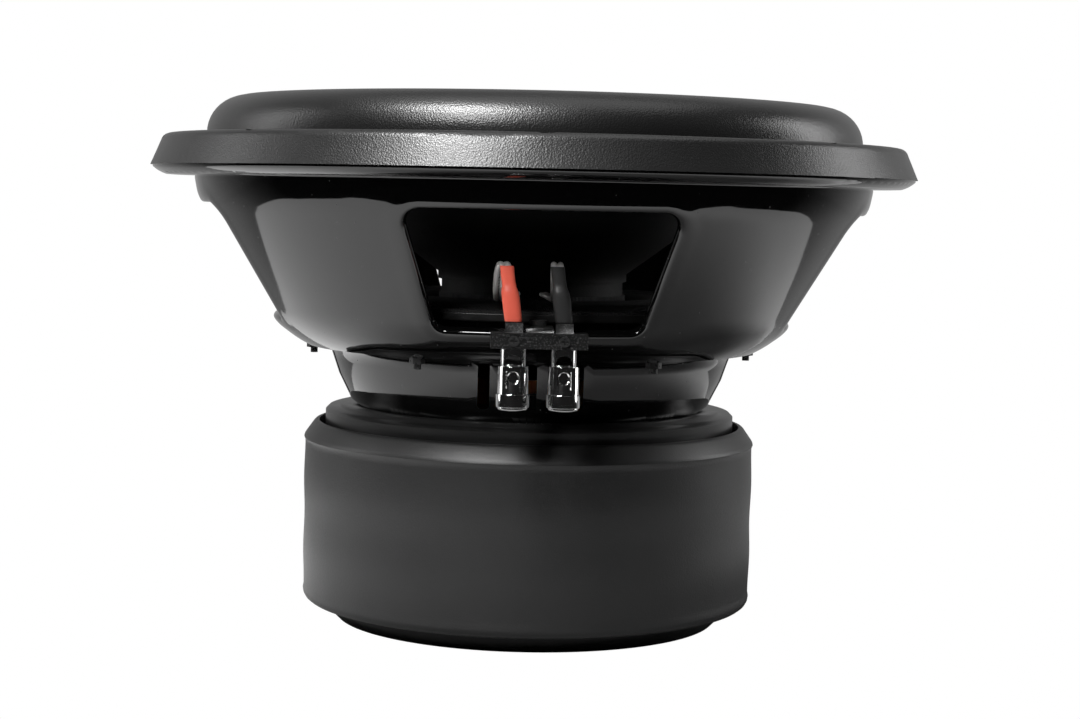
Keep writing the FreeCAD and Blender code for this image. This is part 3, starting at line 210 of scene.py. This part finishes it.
paper.node("ShaderNodeOutputMaterial", None, {"Surface": sweep})
floor_data.materials.append(paper.material)

room = bpy.data.worlds.new("room")
bpy.context.scene.world = room
air = Finish("room", room)
direction = air.node("ShaderNodeSeparateXYZ", None, {0: air.node("ShaderNodeTexCoord", output="Generated")},
                     "Y")
backward = direction.step(0.1, 0.8)
dark_front = air.node("ShaderNodeBackground", None, {"Color": grey(0.01), "Strength": 1.0})
pale_back = air.node("ShaderNodeBackground", None, {"Color": grey(0.42), "Strength": 1.0})
around = air.node("ShaderNodeMixShader", None, {0: backward, 1: dark_front, 2: pale_back})
seen = air.node("ShaderNodeLightPath", output="Is Camera Ray")
shown = air.node("ShaderNodeBackground", None, {"Color": grey(1.0), "Strength": 1.0})
both = air.node("ShaderNodeMixShader", None, {0: seen, 1: around, 2: shown})
air.node("ShaderNodeOutputWorld", None, {"Surface": both})
bpy.context.scene.view_settings.view_transform = "Standard"

target = Vector((0.0, 0.0, 0.12))


def soft_light(name, azimuth, elevation, distance, width, height, power):
    """A rectangular light that faces the driver; azimuth 0 is over the camera, 90 on the right."""
    data = bpy.data.lights.new(name, "AREA")
    data.shape = "RECTANGLE"
    data.size, data.size_y, data.energy = width, height, power
    light = bpy.data.objects.new(name, data)
    bpy.context.scene.collection.objects.link(light)
    turn, rise = math.radians(azimuth), math.radians(elevation)
    way = Vector((math.sin(turn) * math.cos(rise), -math.cos(turn) * math.cos(rise), math.sin(rise)))
    light.location = target + way * distance
    light.rotation_euler = way.to_track_quat("Z", "Y").to_euler()
    light.visible_camera = False


soft_light("light_top", azimuth=0, elevation=86, distance=1.7, width=2.0, height=1.2, power=9)
soft_light("light_front_top", azimuth=-34, elevation=56, distance=1.8, width=0.6, height=0.25, power=44)
soft_light("light_front", azimuth=-26, elevation=35, distance=1.8, width=0.4, height=0.3, power=18)
soft_light("light_left", azimuth=-100, elevation=18, distance=1.5, width=0.4, height=0.9, power=4)
soft_light("light_right", azimuth=104, elevation=18, distance=1.5, width=0.4, height=0.9, power=7)

# ---- Motor ---------------------------------------------------------------------------------------
# Back plate, pole and top plate are turned steel under a thin satin black coat; the magnets between
# them are ground ferrite and hardly show. The sleeve on the pole is copper, the vent screen bare steel,
# and the screws and nuts that hold the basket and its ring are black oxide steel.

MM = 0.001


def dress(material, *nodes):
    """Gives CAD nodes a finish."""
    for name in nodes:
        mesh = frame["nodes"][name].data
        mesh.materials.clear()
        mesh.materials.append(material)


def copied(node):
    """A CAD node's mesh in the driver's frame, with its loose triangles merged."""
    source = frame["nodes"][node]
    mesh = bmesh.new()
    mesh.from_mesh(source.data)
    mesh.transform(source.matrix_world)
    bmesh.ops.remove_doubles(mesh, verts=mesh.verts, dist=0.002 * MM)
    bmesh.ops.dissolve_degenerate(mesh, edges=mesh.edges, dist=0.001 * MM)
    return mesh


def piece(name, mesh, material, slot, body, *nodes, crease=32.0):
    """A mesh as a piece that rides on a body, stands for CAD nodes and wears the given finish; the slot is not
    used.
    """
    data = bpy.data.meshes.new(name)
    mesh.to_mesh(data)
    mesh.free()
    data.materials.append(material)
    data.shade_smooth()
    data.set_sharp_from_angle(angle=math.radians(crease))
    made = bpy.data.objects.new(name, data)
    bpy.context.scene.collection.objects.link(made)
    if body:
        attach(made, body)
    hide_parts(*nodes)
    return made


def eased(made, width):
    """Rounds a piece's hard edges by a width in millimetres."""
    bevel = made.modifiers.new("eased_edges", "BEVEL")
    bevel.width, bevel.segments = width * MM, 2
    bevel.limit_method, bevel.angle_limit = "ANGLE", math.radians(40)
    bevel.harden_normals = True


steel = Finish("satin_black_steel")
turned_marks = steel.noise(900.0, 3.0)
smudge = steel.noise(28.0, 4.0, 0.6)
satin_black = steel.coat(base_color=grey(0.01), roughness=0.26 + smudge * 0.16,
                         normal=steel.bump(turned_marks, 0.02 * MM, 0.5))
piece("back_plate", copied("t_yoke"), satin_black, "plated_steel", "frame", "t_yoke")
piece("front_plate", copied("top_plate"), satin_black, "satin_black_steel", "frame", "top_plate")

ferrite = Finish("ground_ferrite")
grit = ferrite.noise(1400.0, 2.0)
dress(ferrite.coat(base_color=grey(0.05), roughness=0.55 + grit * 0.2), "magnet_lower", "magnet_upper")

copper = Finish("drawn_copper")
dress(copper.coat(base_color=(0.72, 0.36, 0.2, 1), metallic=1.0, roughness=0.2 + copper.noise(300.0) * 0.2),
      "shorting_sleeve")

bare_steel = Finish("zinc_plated_steel")
zinc = bare_steel.coat(base_color=grey(0.6, 0.02), metallic=1.0,
                       roughness=0.2 + bare_steel.noise(700.0) * 0.2)
dress(zinc, "vent_screen")

oxide = Finish("black_oxide_steel")
black_oxide = oxide.coat(base_color=grey(0.07), metallic=0.6, roughness=0.2 + oxide.noise(800.0) * 0.2)
dress(black_oxide, "basket_bolts", "spider_ring_nuts", "spider_ring_screws")

# ---- Magnet boot ---------------------------------------------------------------------------------
# A charcoal rubber boot stretched over the two magnets: it swells a little over each one, dips at
# their seam, and ends in a chamfered shoulder above and a rolled edge below. Fine moulded grain.


def turned(profile, closed=True):
    """A profile of (radius, height) points in millimetres, turned about the driver's axis."""
    mesh = bmesh.new()
    ring = [mesh.verts.new((radius * MM, 0.0, height * MM)) for radius, height in profile]
    ends = ring[1:] + ring[:1] if closed else ring[1:]
    edges = [mesh.edges.new(pair) for pair in zip(ring, ends)]
    bmesh.ops.spin(mesh, geom=ring + edges, cent=(0, 0, 0), axis=(0, 0, 1), angle=2 * math.pi,
                   steps=256, use_merge=True)
    bmesh.ops.remove_doubles(mesh, verts=mesh.verts, dist=0.001 * MM)
    bmesh.ops.recalc_face_normals(mesh, faces=mesh.faces)
    return mesh


boot_r, boot_swell = 95.6, 0.2
magnet_middle, magnet_height = 29.0, 30.0
rolled_edge = [(91.0, 7.8), (92.6, 7.8), (93.9, 8.2), (94.9, 9.0), (95.5, 10.1), (95.7, 11.4)]
swollen_side = [(boot_r + boot_swell * math.cos((z - magnet_middle) / magnet_height * 2 * math.pi), z)
                for z in range(13, 76, 2)]
shoulder = [(95.9, 76.2), (95.7, 77.0), (95.2, 77.8), (92.0, 82.3), (91.3, 83.0), (90.3, 83.4), (89.6, 83.3)]
inner_wall = [(89.5, 83.0), (89.5, 74.0), (91.0, 74.0)]
boot_profile = rolled_edge + swollen_side + shoulder + inner_wall
boot_finish = Finish("boot_rubber")
grain = boot_finish.noise(1300.0, 3.0, 0.6)
chalk = boot_finish.noise(22.0, 4.0, 0.6)
boot_rubber = boot_finish.coat(base_color=boot_finish.blend(chalk, grey(0.006), grey(0.012)),
                               roughness=0.36 + grain * 0.14,
                               normal=boot_finish.bump(grain, 0.09 * MM, 0.8))
piece("boot", turned(boot_profile), boot_rubber, "boot_rubber", "frame", "magnet_boot")

# ---- Basket --------------------------------------------------------------------------------------
# Cast aluminium under thick gloss black paint. The bowl's wall is skinned round each window, with the
# soft raised frame and the rolled lip of the casting. The neck, its slots and the flange keep the CAD
# shape, and a boss in front and behind carries each terminal bracket.


def arc_points(start, end, radius, steps):
    """Points after start up to end along an arc that bulges right of the way."""
    start, end = Vector(start), Vector(end)
    along = end - start
    left = Vector((-along.y, along.x)).normalized()
    centre = (start + end) / 2 + left * math.sqrt(radius ** 2 - (along.length / 2) ** 2)
    turn = 2 * math.asin(along.length / 2 / radius)
    spoke = start - centre
    return [centre + Matrix.Rotation(turn * k / steps, 2) @ spoke for k in range(1, steps + 1)]


def filleted(corners, steps):
    """The arcs that round each (x, y, rounding) corner of a closed outline."""
    points = []
    for number, (x, y, rounding) in enumerate(corners):
        here = Vector((x, y))
        back = (Vector(corners[number - 1][:2]) - here).normalized()
        ahead = (Vector(corners[(number + 1) % len(corners)][:2]) - here).normalized()
        half = back.angle(ahead) / 2
        reach = rounding / math.tan(half)
        start, end = here + back * reach, here + ahead * reach
        points.append([start] + arc_points(start, end, rounding, steps))
    return points


shelf_edge, bowl_foot, bowl_brow, wall_top = (95.0, 115.8), (112.0, 130.0), (138.8, 173.0), (142.8, 184.5)
foot_round, brow_round = 45.0, 28.4
wall_line = [Vector(shelf_edge)] + arc_points(shelf_edge, bowl_foot, foot_round, 18)
wall_line += [wall_line[-1].lerp(Vector(bowl_brow), k / 24) for k in range(1, 25)]
wall_line += arc_points(bowl_brow, wall_top, brow_round, 12)
travelled = [0.0]
for before, after in zip(wall_line, wall_line[1:]):
    travelled.append(travelled[-1] + (after - before).length)
wall_end = travelled[-1]


def on_wall(along):
    """Point and outward normal of the bowl's outer profile, that far along it from the shelf's edge."""
    along = min(max(along, 0.0), wall_end)
    span = next(k for k in range(len(travelled) - 1) if travelled[k + 1] >= along - 1e-9)
    share = (along - travelled[span]) / (travelled[span + 1] - travelled[span])

    def slope(k):
        low, high = max(k - 1, 0), min(k + 1, len(wall_line) - 1)
        return (wall_line[high] - wall_line[low]).normalized()

    way = slope(span).lerp(slope(span + 1), share).normalized()
    return wall_line[span].lerp(wall_line[span + 1], share), Vector((way.y, -way.x))


def along_at(height):
    """How far along the wall that height is."""
    span = next(k for k in range(len(wall_line) - 1) if wall_line[k + 1].y >= height - 1e-9)
    low, high = wall_line[span].y, wall_line[span + 1].y
    return travelled[span] + (height - low) / (high - low) * (travelled[span + 1] - travelled[span])


QUARTER = math.pi / 4
WALL = 4.0
sill, head, sill_half, head_half, corner = 127.5, 173.8, 39.6, 52.9, 6.0
window = filleted([(-sill_half, sill, corner), (sill_half, sill, corner), (head_half, head, corner),
                   (-head_half, head, corner)], 12)


def on_chart(point):
    """A window point (across, up) as (angle about the axis, distance along the wall)."""
    along = along_at(point.y)
    return math.asin(point.x / on_wall(along)[0].x), along


def at_edge(side, spot):
    """A chart point carried straight out to one edge of the quarter: foot, right, top or left."""
    return [(spot[0], 0.0), (QUARTER, spot[1]), (spot[0], wall_end), (-QUARTER, spot[1])][side]


quarter_corners = [(-QUARTER, 0.0), (QUARTER, 0.0), (QUARTER, wall_end), (-QUARTER, wall_end)]
outline_spots, edge_spots = [], []
for number, arc in enumerate(window):
    spots = [on_chart(p) for p in arc]
    first, last = at_edge(number - 1 if number else 3, spots[0]), at_edge(number, spots[-1])
    half_way = (len(spots) - 1) // 2
    for k, spot in enumerate(spots):
        share = k / half_way if k <= half_way else (k - half_way) / (len(spots) - 1 - half_way)
        ends = (first, quarter_corners[number]) if k <= half_way else (quarter_corners[number], last)
        outline_spots.append(spot)
        edge_spots.append(tuple(a + (b - a) * share for a, b in zip(*ends)))
    following = window[(number + 1) % 4][0]
    pieces_along = (34, 18, 42, 18)[number]
    for k in range(1, pieces_along):
        spot = on_chart(arc[-1].lerp(following, k / pieces_along))
        outline_spots.append(spot)
        edge_spots.append(at_edge(number, spot))

FRAME_RISE, FADE, SPARE = 0.3, 10.5, 2.0
inside_lip = [(9.0, -WALL), (5.0, -WALL), (2.0, -WALL), (0.9, -WALL + 0.1), (0.25, -WALL + 0.6)]
rolled_lip = [(0.0, -WALL + 1.4), (0.0, -1.7), (0.1, -1.05), (0.4, -0.5), (0.85, -0.12), (1.4, 0.1)]
raised_frame = [(2.1, 0.22), (3.0, 0.28), (4.0, FRAME_RISE), (5.0, 0.28), (6.2, 0.21), (7.5, 0.12),
                (9.0, 0.03), (FADE, 0.0)]
beyond = [0.25, 0.5, 0.75, 1.0]


def wall_vertex(mesh, spot, height):
    """A vertex above or below the wall's outer face at a chart spot."""
    place, out = on_wall(spot[1])
    radius, level = place.x + out.x * height, place.y + out.y * height
    return mesh.verts.new((radius * math.sin(spot[0]) * MM, -radius * math.cos(spot[0]) * MM, level * MM))


NECK_TOP, FLANGE_FOOT = shelf_edge[1] + 0.02, wall_top[1] - 0.05
basket_mesh = bmesh.new()
for below in (True, False):
    part = copied("basket")
    level = NECK_TOP if below else FLANGE_FOOT
    bmesh.ops.bisect_plane(part, geom=part.verts[:] + part.edges[:] + part.faces[:], dist=0.0001 * MM,
                           plane_co=(0, 0, level * MM), plane_no=(0, 0, 1), clear_outer=below,
                           clear_inner=not below)
    kept = bpy.data.meshes.new("basket_part")
    part.to_mesh(kept)
    part.free()
    basket_mesh.from_mesh(kept)
    bpy.data.meshes.remove(kept)

bowl = bmesh.new()
rings = []
skin = [(far, -WALL, True) for far in reversed(beyond)]
skin += [(distance, height, False) for distance, height in inside_lip + rolled_lip + raised_frame]
skin += [(far, 0.0, True) for far in beyond]
for amount, height, past in skin:
    ring = []
    for spot, edge in zip(outline_spots, edge_spots):
        radius = on_wall(spot[1])[0].x
        length = math.hypot((edge[0] - spot[0]) * radius, edge[1] - spot[1])
        squeeze = min(1.0, length / (FADE + SPARE))
        share = amount * squeeze / length
        if past:
            near = FADE * squeeze / length
            share = near + (1.0 - near) * amount
        ring.append(wall_vertex(bowl, tuple(a + (b - a) * share for a, b in zip(spot, edge)), height))
    rings.append(ring)
for inner, outer in zip(rings, rings[1:]):
    for k in range(len(inner)):
        bowl.faces.new((inner[k - 1], inner[k], outer[k], outer[k - 1]))
quarter = bpy.data.meshes.new("bowl_quarter")
bowl.to_mesh(quarter)
bowl.free()
bowl = bmesh.new()
for turn in range(4):
    first = len(bowl.verts)
    bowl.from_mesh(quarter)
    bowl.verts.ensure_lookup_table()
    bmesh.ops.rotate(bowl, verts=bowl.verts[first:], cent=(0, 0, 0),
                     matrix=Matrix.Rotation(turn * math.pi / 2, 3, "Z"))
bmesh.ops.remove_doubles(bowl, verts=bowl.verts, dist=0.02 * MM)
bmesh.ops.recalc_face_normals(bowl, faces=bowl.faces)
bpy.data.meshes.remove(quarter)
bowl_data = bpy.data.meshes.new("bowl")
bowl.to_mesh(bowl_data)
bowl.free()
basket_mesh.from_mesh(bowl_data)
bpy.data.meshes.remove(bowl_data)

shelf_bore, shelf_top, shelf_reach = 81.8, 119.3, 96.2
shelf = turned([(shelf_bore, shelf_edge[1]), (shelf_bore, shelf_top), (shelf_reach, shelf_top + 0.3)],
               closed=False)
shelf_data = bpy.data.meshes.new("shelf")
shelf.to_mesh(shelf_data)
shelf.free()
basket_mesh.from_mesh(shelf_data)
bpy.data.meshes.remove(shelf_data)
boss_half, boss_in, boss_out, boss_foot = 7.5, 97.5, 106.0, 122.3
for facing in (-1, 1):
    low = Vector((-boss_half, facing * boss_in, boss_foot)) * MM
    high = Vector((boss_half, facing * boss_out, sill)) * MM
    spans = [abs(b - a) for a, b in zip(low, high)]
    boss = Matrix.Translation((low + high) / 2) @ Matrix.Diagonal((*spans, 1))
    bmesh.ops.create_cube(basket_mesh, size=1.0, matrix=boss)

paint = Finish("gloss_black_paint")
peel = paint.noise(55.0, 2.0)
speck_place = paint.cells(420.0)
speck_pick = paint.cells(420.0, output="Color")
picked = paint.node("ShaderNodeSeparateXYZ", None, {0: speck_pick}, "X")
dust = (1.0 - speck_place.step(0.05, 0.16)) * picked.step(0.9, 0.94)
gloss_black = paint.coat(base_color=paint.blend(dust * 0.3, grey(0.0025), grey(0.3)),
                         roughness=0.05 + dust * 0.4 + paint.noise(18.0, 3.0) * 0.03,
                         normal=paint.bump(peel, 0.05 * MM, 0.5))
piece("basket_casting", basket_mesh, gloss_black, "gloss_black_cast", "frame", "basket", crease=38.0)

# ---- Gasket --------------------------------------------------------------------------------------
# A thick rubber trim ring glued on the flange, with eight holes for the mounting bolts. It is moulded
# with a fine pebbled face and is satin where it has been rubbed.

trim = Finish("trim_rubber")
pebble = trim.cells(1500.0) + trim.noise(900.0, 3.0) * 0.6
rubbed = trim.noise(16.0, 4.0, 0.6)
trim_rubber = trim.coat(base_color=trim.blend(rubbed, grey(0.005), grey(0.01)),
                        roughness=0.28 + rubbed * 0.12,
                        normal=trim.bump(pebble, 0.08 * MM, 0.8))
eased(piece("trim_ring", copied("gasket"), trim_rubber, "gasket_rubber", "frame", "gasket"), 0.5)

# ---- Suspension ----------------------------------------------------------------------------------
# The high-roll rubber surround, the two resin-set woven spiders, the leads stitched over the upper one
# and the plastic ring between them.


def radial_blend(made):
    """Bakes a piece's placement into its mesh."""
    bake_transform(made)


surround_finish = Finish("surround_rubber")
dimple = surround_finish.cells(1500.0) + surround_finish.noise(900.0, 3.0) * 0.6
handled = surround_finish.noise(14.0, 4.0, 0.6)
surround_rubber = surround_finish.coat(base_color=surround_finish.blend(handled, grey(0.005), grey(0.009)),
                                       roughness=0.26 + handled * 0.1,
                                       normal=surround_finish.bump(dimple, 0.08 * MM, 0.8))
roll = piece("roll_surround", copied("surround"), surround_rubber, "surround_rubber", None, "surround")
radial_blend(roll)

cloth = Finish("spider_cloth")
thread_pitch = 0.9 * MM
THREADS = 2 * math.pi / thread_pitch
across_cloth = cloth.node("ShaderNodeSeparateXYZ", None, {0: cloth.place()}, "X")
along_cloth = cloth.node("ShaderNodeSeparateXYZ", None, {0: cloth.place()}, "Y")
warp, weft = (across_cloth * THREADS).sine(), (along_cloth * THREADS).sine()
weave = warp * weft + cloth.noise(2500.0) * 0.4
spider_cloth = cloth.coat(base_color=cloth.blend(weave.step(-0.6, 1.0), grey(0.008), grey(0.03)),
                          roughness=0.75,
                          normal=cloth.bump(weave, 0.25 * MM))
for level in ("upper", "lower"):
    woven = piece(f"woven_spider_{level}", copied(f"spider_{level}"), spider_cloth, "spider_cloth", None,
                  f"spider_{level}")
    radial_blend(woven)

moulded = Finish("moulded_black_plastic")
ring_plastic = moulded.coat(base_color=grey(0.016), roughness=0.3 + moulded.noise(300.0) * 0.12,
                            normal=moulded.bump(moulded.noise(1200.0), 0.03 * MM))
eased(piece("spacer_ring", copied("spider_ring"), ring_plastic, "ring_plastic", "frame", "spider_ring"), 0.5)

# ---- Cone ----------------------------------------------------------------------------------------
# A black pressed pulp cone with a domed dust cap glued over the coil. The former and its collar are
# wound with enamelled copper wire, and all of it moves as one.

pulp = Finish("cone_pulp")
fibre = pulp.noise(500.0, 6.0, 0.7)
black_pulp = pulp.coat(base_color=pulp.blend(fibre.step(0.55, 0.75), grey(0.003), grey(0.006)),
                       roughness=0.7,
                       normal=pulp.bump(fibre, 0.3 * MM, 0.6))
piece("pulp_cone", copied("cone"), black_pulp, "paper_cone", "cone_assembly", "cone")
piece("domed_cap", copied("dust_cap"), black_pulp, "dust_cap_paper", "cone_assembly", "dust_cap")
dress(black_pulp, "former_collar", "coil_former")
wire = Finish("enamelled_copper")
dress(wire.coat(base_color=(0.62, 0.25, 0.1, 1), metallic=1.0, roughness=0.3 + wire.noise(500.0) * 0.1),
      "winding_inner", "winding_outer")

# ---- Terminals -----------------------------------------------------------------------------------
# Bright plated barrels with their sprung sleeves and end caps, on crossbars of mottled black moulding,
# held by black cross-head screws.

chrome = Finish("bright_chrome")
touched = chrome.noise(260.0, 3.0)
bright = chrome.coat(base_color=grey(0.78), metallic=1.0, roughness=0.07 + touched * 0.09,
                     normal=chrome.bump(chrome.noise(700.0), 0.01 * MM, 0.4))
bracket = Finish("bracket_plastic")
mottle = bracket.noise(1300.0, 4.0, 0.7)
bracket_plastic = bracket.coat(base_color=bracket.blend(mottle.step(0.5, 0.72), grey(0.008), grey(0.16)),
                               roughness=0.3, normal=bracket.bump(mottle, 0.05 * MM))
sides = [(side, colour) for side in ("front", "back") for colour in ("red", "black")]
for side, colour in sides:
    tag, moving = f"{side}_{colour}", f"push_{side}_{colour}"
    eased(piece(f"post_{tag}", copied(f"barrel_{tag}"), bright, "bright_chrome", "frame",
                f"barrel_{tag}"), 0.2)
    eased(piece(f"collar_{tag}", copied(f"push_sleeve_{tag}"), bright, "bright_chrome", moving,
                f"push_sleeve_{tag}"), 0.22)
    eased(piece(f"plug_{tag}", copied(f"end_cap_{tag}"), bright, "bright_chrome", moving,
                f"end_cap_{tag}"), 0.25)
    dress(bright, f"lug_{tag}")
    low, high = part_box(f"spring_{tag}")
    coil = piece(f"coil_spring_{tag}", copied(f"spring_{tag}"), zinc, "screw_steel", "frame",
                 f"spring_{tag}")
    travel = next(j["range_m"][1] for j in frame["record"]["behaviour"]["joints"] if j["name"] == moving)
    1 - travel / (high[2] - low[2])
    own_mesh(coil)
for side in ("front", "back"):
    eased(piece(f"crossbar_{side}", copied(f"bracket_{side}"), bracket_plastic, "bracket_plastic", "frame",
                f"bracket_{side}"), 0.3)
    eased(piece(f"bar_screws_{side}", copied(f"clamp_screws_{side}"), black_oxide, "black_steel", "frame",
                f"clamp_screws_{side}"), 0.12)
    eased(piece(f"foot_screw_{side}", copied(f"tongue_screw_{side}"), black_oxide, "screw_steel", "frame",
                f"tongue_screw_{side}"), 0.2)

# ---- Leads ---------------------------------------------------------------------------------------
# Heat-shrunk tubes over the lugs, red and black, pinched in above the lug, and two silver braided
# strands from each, which arch over the sill and are stitched to the upper spider.


FLATNESS = 0.8


def lofted(sections, count):
    """A closed tube through ovals: each section is (middle, half width, half depth) in millimetres."""
    mesh = bmesh.new()
    rows = []
    for middle, wide, deep in sections:
        row = []
        for k in range(count):
            angle = 2 * math.pi * k / count
            x = math.copysign(abs(math.cos(angle)) ** FLATNESS, math.cos(angle)) * wide
            y = math.copysign(abs(math.sin(angle)) ** FLATNESS, math.sin(angle)) * deep
            row.append(mesh.verts.new((middle + Vector((x, y, 0))) * MM))
        rows.append(row)
    for lower, upper in zip(rows, rows[1:]):
        for k in range(count):
            mesh.faces.new((lower[k - 1], lower[k], upper[k], upper[k - 1]))
    mesh.faces.new(rows[0])
    mesh.faces.new(rows[-1])
    bmesh.ops.recalc_face_normals(mesh, faces=mesh.faces)
    return mesh


def on_spline(points, count):
    """Points evenly spaced along the smooth NURBS line of a route, in metres."""
    curve = bpy.data.curves.new("route", "CURVE")
    curve.dimensions = "3D"
    spline = curve.splines.new("NURBS")
    spline.points.add(len(points) - 1)
    for knot, point in zip(spline.points, points):
        knot.co = (*(Vector(point) * MM), 1.0)
    spline.order_u = 3
    spline.use_endpoint_u = True
    spline.resolution_u = 24
    holder = bpy.data.objects.new("route", curve)
    line = bpy.data.meshes.new_from_object(holder)
    knots = [v.co.copy() for v in line.vertices]
    bpy.data.objects.remove(holder)
    bpy.data.curves.remove(curve)
    bpy.data.meshes.remove(line)
    walked = [0.0]
    for a, b in zip(knots, knots[1:]):
        walked.append(walked[-1] + (b - a).length)
    spots, span = [], 0
    for k in range(count):
        goal = walked[-1] * k / (count - 1)
        while span < len(walked) - 2 and walked[span + 1] < goal:
            span += 1
        share = (goal - walked[span]) / max(walked[span + 1] - walked[span], 1e-9)
        spots.append(knots[span].lerp(knots[span + 1], share))
    return spots


YARNS, YARN_SIDES, PLAIT = 8, 5, 6.5 * MM


def braided(mesh, route, radius):
    """A braided strand along a route: yarns wound both ways round it, each passing over and under."""
    core, yarn = radius * 0.80, radius * 0.17
    ahead = [(b - a).normalized() for a, b in zip(route, route[1:])]
    ahead.append(ahead[-1])
    across = Vector((1.0, 0.0, 0.0))
    walked = 0.0
    frames = []
    for k, spot in enumerate(route):
        across = (across - ahead[k] * across.dot(ahead[k])).normalized()
        frames.append((spot, across.copy(), ahead[k].cross(across), walked))
        if k < len(route) - 1:
            walked += (route[k + 1] - spot).length
    for hand in (-1, 1):
        for number in range(YARNS):
            rows = []
            for (spot, right, up, distance), way in zip(frames, ahead):
                angle = 2 * math.pi * (number / YARNS + hand * distance / PLAIT)
                out = right * math.cos(angle) + up * math.sin(angle)
                aside = way.cross(out)
                weaving = math.sin(YARNS * 2 * math.pi * distance / PLAIT + number * math.pi)
                middle = spot + out * (core + yarn * 0.7 * hand * weaving)
                row = []
                for s in range(YARN_SIDES):
                    a = 2 * math.pi * s / YARN_SIDES
                    oval = out * math.sin(a) * 0.8 + aside * math.cos(a) * 1.7
                    row.append(mesh.verts.new(middle + oval * yarn))
                rows.append(row)
            for lower, upper in zip(rows, rows[1:]):
                for s in range(YARN_SIDES):
                    mesh.faces.new((lower[s - 1], lower[s], upper[s], upper[s - 1]))
            mesh.faces.new(rows[0])
            mesh.faces.new(rows[-1])


red = Finish("heat_shrink_red")
red_tube = red.coat(base_color=(1.0, 0.16, 0.1, 1), roughness=0.4 + red.noise(200.0) * 0.12,
                    normal=red.bump(red.noise(600.0, 3.0), 0.05 * MM))
black = Finish("heat_shrink_black")
black_tube = black.coat(base_color=grey(0.028), roughness=0.4 + black.noise(200.0) * 0.12,
                        normal=black.bump(black.noise(600.0, 3.0), 0.05 * MM))
braid = Finish("silver_braid")
silver = braid.coat(base_color=grey(0.85, 0.02), metallic=0.4, roughness=0.35 + braid.noise(1800.0) * 0.2)

TERMINAL_OUT, TERMINAL_ACROSS, POST_TOP, RING_TOP, RING_EDGE = 117.0, 9.45, 132.4, 134.4, 96.0
LEAD_R, LEAD_STEP, COLLAR_EDGE, STITCH_GAP = 1.1, 1.2, 42.1, 0.6
lead_rise = {"red": [(-1.9, 0.0, 11.5), (-2.9, 0.4, 18.9), (-4.3, 6.5, 22.6)],
             "black": [(-1.9, 0.0, 11.5), (-2.8, 0.4, 18.9), (-3.1, 6.5, 22.8)]}
lead_fall = {"red": [(-5.6, 4.5, 16.4), (-5.8, -2.0, 8.0), (-5.3, -10.0, 5.4)],
             "black": [(-2.9, 4.5, 16.4), (-2.5, -2.0, 8.0), (-2.4, -10.0, 5.4)]}
over_lug = [(0.4, -0.3, 3.15, 1.9), (1.2, -0.38, 3.3, 2.1), (4.0, -0.75, 3.35, 2.2), (8.5, -1.3, 3.4, 2.7),
            (11.2, -1.75, 3.3, 2.75), (12.4, -1.95, 3.0, 2.45)]
over_leads = [(13.3, -2.05, 2.7, 1.8), (15.0, -2.3, 2.6, 1.7), (18.0, -2.75, 2.62, 1.75),
              (20.6, -3.05, 2.65, 1.75), (21.1, -3.1, 2.6, 1.7)]
spider_tails = bmesh.new()
for side, colour in sides:
    facing = Matrix.Rotation(0.0 if side == "front" else math.pi, 4, "Z")
    hand = -1 if colour == "red" else 1
    tube = lofted([(Vector((hand * TERMINAL_ACROSS + lean, -TERMINAL_OUT, POST_TOP + up)), wide, deep)
                   for up, lean, wide, deep in over_lug + over_leads], 40)
    tube.transform(facing)
    piece(f"shrunk_tube_{side}_{colour}", tube, red_tube if colour == "red" else black_tube,
          f"heat_shrink_{colour}", "frame", f"heat_shrink_{side}_{colour}", crease=50.0)
    pair = bmesh.new()
    for strand in (-1, 1):
        middle = hand * TERMINAL_ACROSS + strand * LEAD_STEP
        route = [(middle + x, y - TERMINAL_OUT, POST_TOP + z) for x, y, z in lead_rise[colour]]
        route += [(middle + x, -RING_EDGE - y, RING_TOP + z) for x, y, z in lead_fall[colour]]
        braided(pair, on_spline(route, 150), LEAD_R * MM)
        start = Vector(route[-1])
        end = Vector((start.x * 0.5, -COLLAR_EDGE, start.z))
        inward = (end - start).normalized()
        line = [(start + inward * STITCH_GAP).lerp(end, k / 110) * MM for k in range(111)]
        braided(spider_tails, [facing @ point for point in line], LEAD_R * MM)
    pair.transform(facing)
    piece(f"braided_pair_{side}_{colour}", pair, silver, "silver_braid", "frame",
          f"lead_pair_{side}_{colour}", crease=60.0)
tails = piece("stitched_leads", spider_tails, silver, "silver_braid", None, "spider_leads", crease=60.0)
radial_blend(tails)
